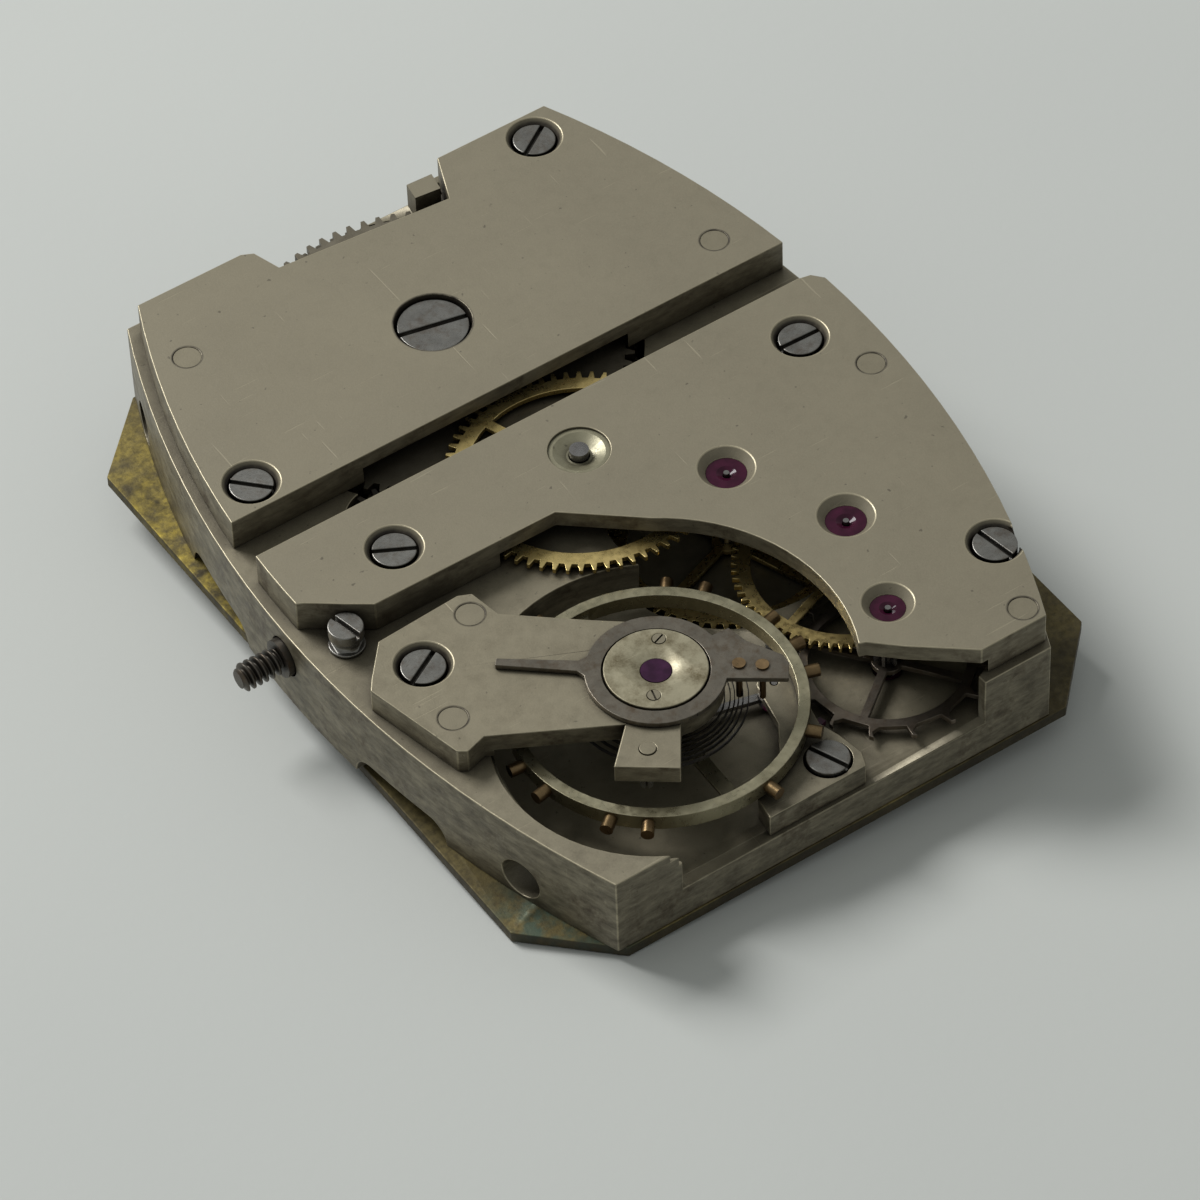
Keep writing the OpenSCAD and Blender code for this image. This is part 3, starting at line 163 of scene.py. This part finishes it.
class Nodes:
    """A material with its shader, and short calls that add nodes to it."""

    def __init__(self, name):
        self.material = bpy.data.materials.new(name)
        self.material.use_nodes = True
        self.tree = self.material.node_tree
        self.tree.nodes.clear()
        out = self.add("ShaderNodeOutputMaterial")
        self.shader = self.add("ShaderNodeBsdfPrincipled")
        self.link(self.shader.outputs[0], out.inputs["Surface"])
        coordinates = self.add("ShaderNodeTexCoord")
        mapping = self.add("ShaderNodeMapping")
        mapping.inputs["Scale"].default_value = (1000, 1000, 1000)
        self.link(coordinates.outputs["Object"], mapping.inputs["Vector"])
        self.place = mapping.outputs["Vector"]
        self.normal = coordinates.outputs["Normal"]

    def add(self, kind, **settings):
        node = self.tree.nodes.new(kind)
        for key, value in settings.items():
            setattr(node, key, value)
        return node

    def link(self, a, b):
        self.tree.links.new(a, b)

    def fill(self, socket, value):
        """Give a socket a number, a colour or another node's output."""
        if isinstance(value, (int, float)):
            socket.default_value = value
        elif isinstance(value, tuple):
            socket.default_value = (*value, 1) if len(socket.default_value) == 4 else value
        else:
            self.link(value, socket)

    def set(self, name, value):
        self.fill(self.shader.inputs[name], value)

    def noise(self, scale, detail=3.0, roughness=0.5, stretch=None):
        """Soft noise with this many features to a millimetre."""
        node = self.add("ShaderNodeTexNoise")
        node.inputs["Scale"].default_value = scale
        node.inputs["Detail"].default_value = detail
        node.inputs["Roughness"].default_value = roughness
        source = self.place
        if stretch:
            mapping = self.add("ShaderNodeMapping")
            mapping.inputs["Scale"].default_value = stretch
            self.link(source, mapping.inputs["Vector"])
            source = mapping.outputs["Vector"]
        self.link(source, node.inputs["Vector"])
        return node.outputs["Fac"]

    def spread(self, value, low, high, to_low=0.0, to_high=1.0):
        """The value's range from low to high, laid over another range and clamped."""
        node = self.add("ShaderNodeMapRange")
        self.link(value, node.inputs["Value"])
        numbers = {"From Min": low, "From Max": high, "To Min": to_low, "To Max": to_high}
        for key, number in numbers.items():
            node.inputs[key].default_value = number
        return node.outputs["Result"]

    def patches(self, scale, low, high, to_low=0.0, to_high=1.0, **noise):
        """Noise of which only the range from low to high counts."""
        return self.spread(self.noise(scale, **noise), low, high, to_low, to_high)

    def mix(self, factor, a, b):
        node = self.add("ShaderNodeMix", data_type="RGBA", blend_type="MIX")
        for index, value in ((0, factor), (6, a), (7, b)):
            self.fill(node.inputs[index], value)
        return node.outputs[2]

    def math(self, operation, a, b):
        node = self.add("ShaderNodeMath", operation=operation)
        self.fill(node.inputs[0], a)
        self.fill(node.inputs[1], b)
        return node.outputs[0]

    def times(self, a, b):
        return self.math("MULTIPLY", a, b)

    def walls(self, amount, low=0.2, high=0.8):
        """The amount on upright walls, 0 on faces that look up."""
        parts = self.add("ShaderNodeSeparateXYZ")
        self.link(self.normal, parts.inputs["Vector"])
        return self.spread(parts.outputs["Z"], low, high, amount, 0.0)

    def crevice(self, reach, low, high, amount):
        """The amount where other metal stands close by, 0 in the open."""
        node = self.add("ShaderNodeAmbientOcclusion", samples=6)
        node.inputs["Distance"].default_value = reach * MM
        closed = self.math("SUBTRACT", 1.0, node.outputs["AO"])
        return self.spread(closed, low, high, 0.0, amount)

    def distance(self, vector, point):
        node = self.add("ShaderNodeVectorMath", operation="DISTANCE")
        self.link(vector, node.inputs[0])
        node.inputs[1].default_value = point
        return node.outputs["Value"]

    def near(self, spot, reach):
        """1 at a spot, falling to 0 at the reach."""
        return self.spread(self.distance(self.place, spot), reach * 0.3, reach, 1.0, 0.0)

    def ring(self, p, r):
        """1 on a thin ring about an upright axis, 0 elsewhere."""
        flat = self.add("ShaderNodeVectorMath", operation="MULTIPLY")
        self.link(self.place, flat.inputs[0])
        flat.inputs[1].default_value = (1, 1, 0)
        away = self.distance(flat.outputs[0], (p[0], p[1], 0))
        off = self.math("ABSOLUTE", self.math("SUBTRACT", away, r), 0.0)
        return self.spread(off, RING_W * 0.4, RING_W, 1.0, 0.0)

    def bump(self, height, strength, depth):
        node = self.add("ShaderNodeBump")
        node.inputs["Strength"].default_value = strength
        node.inputs["Distance"].default_value = depth * MM
        self.link(height, node.inputs["Height"])
        self.set("Normal", node.outputs["Normal"])


def scaled(colour, by):
    return tuple(min(1.0, by * c) for c in colour)


def plate_material(name, pale, dark, rough=0.52, stains=0.5, metal=0.36, rings=()):
    """Matte nickel silver: grain, specks, hairline scratches, painted shade in corners and on
    upright walls.
    """
    n = Nodes(name)
    tint = n.mix(n.patches(0.22, 0.3, 0.7), scaled(pale, 0.95), scaled(pale, 1.06))
    mottle = n.patches(1.5, 0.42, 0.74, 0, 0.35 * stains, detail=5, roughness=0.65)
    grain = n.noise(21, roughness=0.75)
    grained = n.mix(
        n.spread(grain, 0.3, 0.7, 0.0, 0.42), n.mix(mottle, tint, dark), scaled(pale, 1.28),
    )
    spotted = n.mix(n.times(n.patches(4.2, 0.70, 0.745), 0.6), grained, SPECK)
    scratches = n.math(
        "MAXIMUM",
        n.patches(1.1, 0.70, 0.73, detail=2, stretch=(0.35, 9, 1)),
        n.patches(0.9, 0.72, 0.75, detail=2, stretch=(7, 0.3, 1)),
    )
    worn = n.mix(n.times(scratches, 0.3), spotted, scaled(pale, 1.7))
    # Painted shade on upright walls: darker, broken into vertical brush streaks, with brown patches
    side = n.walls(1.0)
    streaks = n.patches(1.3, 0.36, 0.66, 0.1, 0.85, detail=5, roughness=0.7, stretch=(1, 1, 3))
    streaked_wall_shade = n.mix(n.times(side, streaks), worn, scaled(dark, 0.8))
    wall_shade_patches = n.times(side, n.patches(0.9, 0.54, 0.68, 0, 0.75, detail=5, roughness=0.7))
    stained = n.mix(wall_shade_patches, streaked_wall_shade, WALL_SHADE)
    # Painted shade where other metal stands close by, from ambient occlusion
    surface = n.mix(n.crevice(1.1, 0.14, 0.68, 0.96), stained, PLATE_CORNER_SHADE)
    patchy = n.patches(2.2, 0.3, 0.6, 0.5, 0.95, roughness=0.6)
    for p, r in rings:
        surface = n.mix(n.times(n.ring(p, r), patchy), surface, RING_GRIME)
    n.set("Base Color", surface)
    n.set("Metallic", metal)
    n.set("Roughness", n.patches(2.4, 0.3, 0.7, rough - 0.05, rough + 0.1, detail=4, roughness=0.6))
    n.bump(n.math("ADD", n.times(grain, 0.7), n.times(scratches, -0.6)), 0.3, 0.02)
    return n.material


def steel_material(name, colour, rough, stained):
    """Worn steel with faint brushing, brown stains and painted shade in corners."""
    n = Nodes(name)
    film = n.patches(1.9, 0.35, 0.7, detail=4, roughness=0.6)
    rust = n.patches(2.8, 0.48, 0.74, 0, stained, detail=5, roughness=0.7)
    surface = n.mix(rust, n.mix(film, colour, scaled(colour, 0.72)), STEEL_STAIN)
    # Painted shade where other metal stands close by, from ambient occlusion
    n.set("Base Color", n.mix(n.crevice(0.35, 0.15, 0.8, 0.95), surface, STEEL_CORNER_SHADE))
    n.set("Metallic", 0.88)
    lines = n.noise(14, roughness=0.6, stretch=(1, 8, 1))
    n.set("Roughness", n.spread(lines, 0.3, 0.7, rough * 0.8, rough * 1.4))
    n.bump(lines, 0.15, 0.01)
    return n.material


def brass_material(name, colour, tarnish_and_shade, rough=0.3, dull=0.5):
    """Brass with turned marks, uneven tarnish, and painted shade on upright faces and in corners.
    """
    n = Nodes(name)
    base = n.mix(n.patches(1.3, 0.36, 0.7, 0, dull, detail=5, roughness=0.65), colour, tarnish_and_shade)
    grain = n.patches(24, 0.3, 0.7, 0, 0.2, detail=2, roughness=0.6)
    # Painted shade: upright faces pulled towards the tarnish colour
    surface = n.mix(n.walls(0.55), n.mix(grain, base, scaled(colour, 1.25)), tarnish_and_shade)
    # Painted shade where other metal stands close by, from ambient occlusion
    n.set("Base Color", n.mix(n.crevice(0.6, 0.2, 0.9, 0.85), surface, BRASS_CORNER_SHADE))
    n.set("Metallic", 0.9)
    n.set("Roughness", n.patches(5, 0.3, 0.7, rough - 0.05, rough + 0.14, roughness=0.6))
    n.bump(n.noise(30, roughness=0.6), 0.18, 0.01)
    return n.material


def ruby_material(name, colour):
    """Synthetic ruby: dark, glossy and slightly cloudy inside."""
    n = Nodes(name)
    n.set("Base Color", n.mix(n.patches(2.6, 0.3, 0.7), colour, scaled(colour, 1.9)))
    n.set("Roughness", n.patches(4, 0.3, 0.7, 0.08, 0.16, detail=2))
    n.set("Specular IOR Level", 0.28)
    n.bump(n.noise(9, detail=2), 0.06, 0.01)
    return n.material


def dial_material(name):
    """Back of the dial: olive brown tarnish, yellow at one corner, green-blue at another."""
    n = Nodes(name)
    cloud = n.patches(0.55, 0.32, 0.68, detail=5, roughness=0.62)
    yellow_patch = n.patches(1.1, 0.36, 0.6, detail=4, roughness=0.6)
    yellow = n.times(n.near((-9.8, 5.5, 0.3), 8.5), yellow_patch)
    warm = n.mix(yellow, n.mix(cloud, DIAL_BROWN, DIAL_OLIVE), DIAL_YELLOW)
    dirt = n.patches(5, 0.4, 0.72, 0, 0.75, detail=5, roughness=0.7)
    green_patch = n.patches(1.6, 0.38, 0.58, detail=4, roughness=0.6)
    green = n.times(n.times(n.near((-8.9, -12.2, 0.2), 3.0), green_patch), 0.8)
    face = n.mix(green, n.mix(dirt, warm, DIAL_GRIME), DIAL_GREEN)
    # Painted shade on the upright faces of the dial
    n.set("Base Color", n.mix(n.walls(0.75, 0.1, 0.7), face, DIAL_WALL_SHADE))
    n.set("Metallic", 0.35)
    n.set("Roughness", n.patches(3.5, 0.3, 0.7, 0.45, 0.72, detail=4, roughness=0.6))
    n.bump(n.noise(9, detail=5, roughness=0.7), 0.4, 0.03)
    return n.material


BRIDGE_METAL = plate_material(
    "grained_nickel", NICKEL, NICKEL_DARK, stains=0.22, rings=BRIDGE_RINGS,
)
COCK_METAL = plate_material(
    "cock_nickel", scaled(NICKEL, 1.1), NICKEL_DARK, rough=0.45, stains=1.1, metal=0.55,
    rings=COCK_RINGS,
)
PLATE_METAL = plate_material(
    "worn_nickel", scaled(NICKEL, 1.12), (0.085, 0.070, 0.045), rough=0.42, stains=1.4, metal=0.45,
)
PALLET_METAL = plate_material(
    "stained_nickel", scaled(NICKEL, 1.05), (0.06, 0.048, 0.028), rough=0.45, stains=1.8, metal=0.5,
)
# Lighter nickel for the broken edges: rubbed wear with a painted highlight along them
EDGE_HIGHLIGHT_METAL = plate_material(
    "rubbed_edge_highlight", scaled(NICKEL, 1.7), NICKEL, rough=0.36, stains=0.6, metal=0.6,
    rings=BRIDGE_RINGS + COCK_RINGS,
)
PIN_METAL = plate_material(
    "pin_nickel", scaled(NICKEL, 1.04), NICKEL_DARK, rough=0.45, stains=0.4, metal=0.5,
)
DRUM_METAL = plate_material(
    "drum_nickel", (0.17, 0.15, 0.11), (0.07, 0.055, 0.03), rough=0.4, stains=1.4, metal=0.6,
)
STAINED_CAP = plate_material(
    "stained_cap", (0.36, 0.325, 0.22), (0.085, 0.06, 0.018), rough=0.36, stains=3.2, metal=0.4,
)
BUSH_METAL = plate_material(
    "pale_bush", (0.30, 0.28, 0.19), (0.12, 0.10, 0.05), rough=0.35, stains=1.2, metal=0.5,
)
SCREW_STEEL = steel_material("screw_steel", (0.27, 0.262, 0.24), rough=0.3, stained=0.55)
PINION_STEEL = steel_material("pinion_steel", (0.30, 0.29, 0.28), rough=0.26, stained=0.3)
DARK_STEEL = steel_material("dark_steel", (0.14, 0.128, 0.11), rough=0.36, stained=0.6)
RUSTY_STEEL = steel_material("rusty_steel", (0.035, 0.022, 0.015), rough=0.5, stained=0.8)
STEM_STEEL = steel_material("stem_steel", (0.105, 0.095, 0.08), rough=0.38, stained=0.6)
REGULATOR_STEEL = steel_material("regulator_steel", (0.225, 0.20, 0.16), rough=0.32, stained=0.6)
ESCAPE_STEEL = steel_material("escape_steel", (0.20, 0.17, 0.135), rough=0.34, stained=0.5)
SPRING_STEEL = steel_material("spring_steel", (0.115, 0.11, 0.11), rough=0.3, stained=0.3)
TRAIN_BRASS = brass_material("train_brass", (0.80, 0.62, 0.26), (0.36, 0.26, 0.08), rough=0.26)
BALANCE_BRASS = brass_material(
    "balance_brass", (0.42, 0.385, 0.26), (0.17, 0.145, 0.08), rough=0.28, dull=0.6,
)
SCREW_GOLD = brass_material("screw_gold", (0.24, 0.165, 0.08), (0.07, 0.04, 0.02), dull=0.8)
PIN_BRASS = brass_material("pin_brass", (0.30, 0.20, 0.10), (0.10, 0.06, 0.03), dull=0.7)
RUBY = ruby_material("ruby", (0.030, 0.004, 0.014))
CAP_RUBY = ruby_material("cap_ruby", (0.032, 0.009, 0.028))
DIAL_BACK = dial_material("dial_back")

MATERIALS = {
    "main_plate": PLATE_METAL, "dial": DIAL_BACK, "dial_foot_screws": RUSTY_STEEL,
    "barrel_bridge": BRIDGE_METAL, "train_bridge": BRIDGE_METAL, "bridge_screws": SCREW_STEEL,
    "balance_cock": COCK_METAL, "pallet_cock": PALLET_METAL, "pallet_cock_screw": SCREW_STEEL,
    "steady_pins": PIN_METAL, "train_jewels": RUBY, "balance_jewels": RUBY,
    "end_piece": STAINED_CAP, "end_piece_screws": PIN_METAL, "cap_jewel": CAP_RUBY,
    "centre_bush": BUSH_METAL, "hairspring_stud": COCK_METAL, "stud_screw": SCREW_STEEL,
    "setting_cover_plate": PLATE_METAL, "small_screws": SCREW_STEEL, "click_spring": DARK_STEEL,
    "barrel_drum": DRUM_METAL, "barrel_cover": TRAIN_BRASS, "mainspring": DARK_STEEL,
    "barrel_arbor": DARK_STEEL, "ratchet_wheel": DRUM_METAL, "ratchet_screw": SCREW_STEEL,
    "centre_wheel": TRAIN_BRASS, "centre_pinion": PINION_STEEL, "cannon_pinion": PINION_STEEL,
    "third_wheel": TRAIN_BRASS, "third_pinion": PINION_STEEL, "fourth_wheel": TRAIN_BRASS,
    "fourth_pinion": PINION_STEEL, "escape_wheel": ESCAPE_STEEL, "escape_pinion": PINION_STEEL,
    "pallet_fork": PINION_STEEL, "pallet_stones": RUBY, "pallet_arbor": PINION_STEEL,
    "balance_wheel": BALANCE_BRASS, "balance_screws": SCREW_GOLD, "balance_staff": PINION_STEEL,
    "roller_table": PINION_STEEL, "impulse_jewel": RUBY, "hairspring_collet": TRAIN_BRASS,
    "hairspring": SPRING_STEEL, "regulator": REGULATOR_STEEL, "curb_pins": PIN_BRASS,
    "crown_wheel": DARK_STEEL, "intermediate_wheel": DARK_STEEL, "winding_stem": STEM_STEEL,
    "winding_pinion": DARK_STEEL, "sliding_pinion": DARK_STEEL, "setting_lever": DARK_STEEL,
    "setting_lever_screw": SCREW_STEEL, "yoke": DARK_STEEL, "click": BRIDGE_METAL,
    "minute_wheel": TRAIN_BRASS, "hour_wheel": TRAIN_BRASS, "setting_wheel": DARK_STEEL,
}


def stand_in_place(piece, node):
    """Hang a new piece on the body of the node it takes the place of."""
    scene.collection.objects.link(piece)
    if len(piece.data.materials) < 2:
        piece.data.materials.clear()
        piece.data.materials.append(MATERIALS[node])
    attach(piece, NODE_BODY[node])
    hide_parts(node)


def plain_mesh(node):
    """The node's mesh without its stored normals and with its flat faces joined."""
    mesh = frame["nodes"][node].data.copy()
    for name in ("custom_normal", "sharp_face", "sharp_edge"):
        if name in mesh.attributes:
            mesh.attributes.remove(mesh.attributes[name])
    work = bmesh.new()
    work.from_mesh(mesh)
    bmesh.ops.remove_doubles(work, verts=work.verts, dist=WELD * MM)
    bmesh.ops.dissolve_limit(
        work, angle_limit=math.radians(FLAT_DEG), verts=work.verts, edges=work.edges,
        use_dissolve_boundaries=False, delimit=set(),
    )
    bmesh.ops.dissolve_degenerate(work, dist=WELD * MM, edges=work.edges)
    return mesh, work


def applied(piece):
    """The piece's mesh with its modifiers applied and its normals kept."""
    scene.collection.objects.link(piece)
    graph = bpy.context.evaluated_depsgraph_get()
    graph.update()
    mesh = bpy.data.meshes.new_from_object(
        piece.evaluated_get(graph), preserve_all_data_layers=True, depsgraph=graph,
    )
    scene.collection.objects.unlink(piece)
    piece.modifiers.clear()
    return mesh


def keep_in_box(mesh, node):
    """Move what a mitre pushes past the CAD node's box back onto it."""
    corners = [vertex.co for vertex in frame["nodes"][node].data.vertices]
    for axis in range(3):
        low, high = min(c[axis] for c in corners), max(c[axis] for c in corners)
        for vertex in mesh.vertices:
            vertex.co[axis] = min(high, max(low, vertex.co[axis]))


def finished(node, width):
    """A copy of a CAD node with its hard outer edges broken, in place of the plain node."""
    mesh, work = plain_mesh(node)
    weight = work.edges.layers.float.new("bevel_weight_edge")
    for edge in work.edges:
        outer = len(edge.link_faces) == 2 and edge.is_convex
        if outer and edge.calc_face_angle(0) > math.radians(HARD_EDGE_DEG):
            edge[weight] = 1.0
    for face in work.faces:
        face.smooth = True
    work.to_mesh(mesh)
    work.free()
    piece = bpy.data.objects.new(node + "_finished", mesh)
    bevel = piece.modifiers.new("edges", "BEVEL")
    bevel.width = width * MM
    bevel.segments = 2
    bevel.limit_method = "WEIGHT"
    bevel.use_clamp_overlap = False
    bevel.harden_normals = True
    bevel.miter_outer = "MITER_SHARP"
    # The bevels of these pieces take the lighter edge material: rubbed wear with a painted
    # highlight
    if node in RUBBED_AND_HIGHLIT:
        bevel.material = 1
        mesh.materials.clear()
        mesh.materials.append(MATERIALS[node])
        mesh.materials.append(EDGE_HIGHLIGHT_METAL)
    piece.data = applied(piece)
    keep_in_box(piece.data, node)
    stand_in_place(piece, node)


def skin(work, rows, smooth=False):
    """Faces between neighbouring rows of points, with both ends closed."""
    count = len(rows[0])
    for low, high in zip(rows, rows[1:]):
        for k in range(count):
            j = (k + 1) % count
            face = work.faces.new((low[k], low[j], high[j], high[k]))
            face.smooth = smooth
    work.faces.new(list(reversed(rows[0])))
    work.faces.new(rows[-1])


def hang(work, mesh, name, node):
    """Fill the mesh from the worked faces and put it in place of a node."""
    bmesh.ops.recalc_face_normals(work, faces=work.faces)
    work.to_mesh(mesh)
    work.free()
    stand_in_place(bpy.data.objects.new(name, mesh), node)


def threaded_stem():
    """The stem with a true helical thread outside the plate; the rest is cut from the solid."""
    start, end, pitch = -12.3, -10.9, 0.22
    tip, root = 0.45, 0.29
    lead_in, run_out, left_at_end = 0.15, 0.12, 0.15
    groove, flank = 0.3, 0.45
    around, rows = 40, 84
    mesh = frame["nodes"]["winding_stem"].data.copy()
    work = bmesh.new()
    work.from_mesh(mesh)
    bmesh.ops.bisect_plane(
        work, geom=work.verts[:] + work.edges[:] + work.faces[:], dist=1e-7,
        plane_co=(end * MM, 0, 0), plane_no=(1, 0, 0), clear_inner=True,
    )
    grid = []
    for i in range(rows + 1):
        x = start + (end - start) * i / rows
        fade = min(1.0, (x - start) / lead_in, (end - x) / run_out + left_at_end)
        row = []
        for k in range(around):
            turn = (x - start) / pitch - k / around
            wave = abs((turn % 1.0) - 0.5) * 2
            crest = min(1.0, max(0.0, (wave - groove) / flank))
            r = root + (tip - root) * crest * max(0.0, fade)
            a = 2 * math.pi * k / around
            y, z = r * math.cos(a), STEM_LEVEL + r * math.sin(a)
            row.append(work.verts.new((x * MM, y * MM, z * MM)))
        grid.append(row)
    skin(work, grid, smooth=True)
    hang(work, mesh, "winding_stem_threaded", "winding_stem")


def ribbon_spring():
    """Flat ribbon of the hairspring; its turns crowd a little on the side of the curb pins."""
    turns, steps = 11, 40
    inner, outer, thick, tall, level = 0.54, 2.74, 0.03, 0.12, 3.25
    end_angle = math.atan2(STUD[1] - STAFF[1], STUD[0] - STAFF[0])
    crowd_angle, crowd = math.radians(-31), 0.30
    mesh = bpy.data.meshes.new("hairspring_ribbon")
    work = bmesh.new()
    rows = []
    for i in range(turns * steps + 1):
        t = i / (turns * steps)
        a = end_angle + 2 * math.pi * turns * (1 - t)
        shift = crowd * math.sin(math.pi * t) ** 2
        r = inner + (outer - inner) * t
        cx = STAFF[0] + shift * math.cos(crowd_angle)
        cy = STAFF[1] + shift * math.sin(crowd_angle)
        row = []
        for side, rise in ((-0.5, -0.5), (0.5, -0.5), (0.5, 0.5), (-0.5, 0.5)):
            away = r + side * thick
            x, y, z = cx + away * math.cos(a), cy + away * math.sin(a), level + rise * tall
            row.append(work.verts.new((x * MM, y * MM, z * MM)))
        rows.append(row)
    skin(work, rows)
    hang(work, mesh, "hairspring_ribbon", "hairspring")


def half_head(work, p, r, half_slot, turn, z0, z1, side):
    """Half of a slotted head: the disc beyond one wall of the slot."""
    parts = 20
    start = math.asin(half_slot / r)
    rows = []
    for z in (z0, z1):
        row = []
        for i in range(parts + 1):
            a = start + (math.pi - 2 * start) * i / parts
            x, y = r * math.cos(a), side * r * math.sin(a)
            row.append(work.verts.new((
                (p[0] + x * math.cos(turn) - y * math.sin(turn)) * MM,
                (p[1] + x * math.sin(turn) + y * math.cos(turn)) * MM, z * MM,
            )))
        rows.append(row)
    skin(work, rows)


def end_piece_screws():
    """The two small slotted screws of the end piece."""
    head_r, half_slot = 0.195, 0.028
    base, slot_floor, top = 0.19, 0.18, 0.26
    mesh = bpy.data.meshes.new("end_screws")
    work = bmesh.new()
    for r, place_deg, slot_deg in ((1.15, 51, 20), (1.05, -128, 75)):
        a = math.radians(place_deg)
        p = (STAFF[0] + r * math.cos(a), STAFF[1] + r * math.sin(a))
        bmesh.ops.create_cone(
            work, cap_ends=True, segments=32, radius1=head_r * MM, radius2=head_r * MM,
            depth=base * MM, matrix=Matrix.Translation(Vector((*p, COCK + base / 2)) * MM),
        )
        for side in (-1, 1):
            half_head(
                work, p, head_r, half_slot, math.radians(slot_deg),
                COCK + slot_floor, COCK + top, side,
            )
    hang(work, mesh, "end_piece_screws_slotted", "end_piece_screws")


def make_floor():
    """A plane that the movement leans on, at its hand post and at one corner of the dial."""
    post = Vector((0, 0, -1.27))
    corner_a = Vector((-10.35, -11.45, -0.03))
    corner_b = Vector((-7.9, -13.9, -0.03))
    half = 700
    normal = (corner_a - post).cross(corner_b - post).normalized()
    if normal.z < 0:
        normal.negate()
    across = normal.cross(Vector((0, 1, 0))).normalized()
    along = normal.cross(across)
    corners = [
        (post + half * (a * across + b * along)) * MM
        for a, b in ((-1, -1), (1, -1), (1, 1), (-1, 1))
    ]
    mesh = bpy.data.meshes.new("floor")
    mesh.from_pydata(corners, [], [(0, 1, 2, 3)])
    floor = bpy.data.objects.new("floor", mesh)
    scene.collection.objects.link(floor)
    n = Nodes("floor_paper")
    n.set("Base Color", n.mix(n.patches(0.03, 0.3, 0.7, detail=2), PAPER, PAPER_PALE))
    n.set("Roughness", 0.9)
    n.set("Specular IOR Level", 0.15)
    n.bump(n.noise(2.5, detail=4, roughness=0.6), 0.1, 0.05)
    mesh.materials.append(n.material)


def area_light(name, place, target, size, power):
    data = bpy.data.lights.new(name, "AREA")
    data.shape = "RECTANGLE"
    data.size, data.size_y = size[0] * MM, size[1] * MM
    data.energy = power
    light = bpy.data.objects.new(name, data)
    light.location = Vector(place) * MM
    light.rotation_euler = (Vector(target) - Vector(place)).to_track_quat("-Z", "Y").to_euler()
    scene.collection.objects.link(light)


def make_sky():
    """Even light from all round."""
    world = bpy.data.worlds.new("studio")
    scene.world = world
    world.use_nodes = True
    background = world.node_tree.nodes["Background"]
    background.inputs["Color"].default_value = SKY
    background.inputs["Strength"].default_value = SKY_STRENGTH


make_camera()
scene.view_settings.view_transform = "Standard"
for name, node in frame["nodes"].items():
    node.data.materials.clear()
    node.data.materials.append(MATERIALS[name])
for width, names in EDGES_BROKEN.items():
    for name in names:
        finished(name, width)
threaded_stem()
ribbon_spring()
end_piece_screws()
make_floor()
make_sky()
area_light("key", place=(-80, 235, 240), target=(0, 0, 0), size=(150, 150), power=1.0)
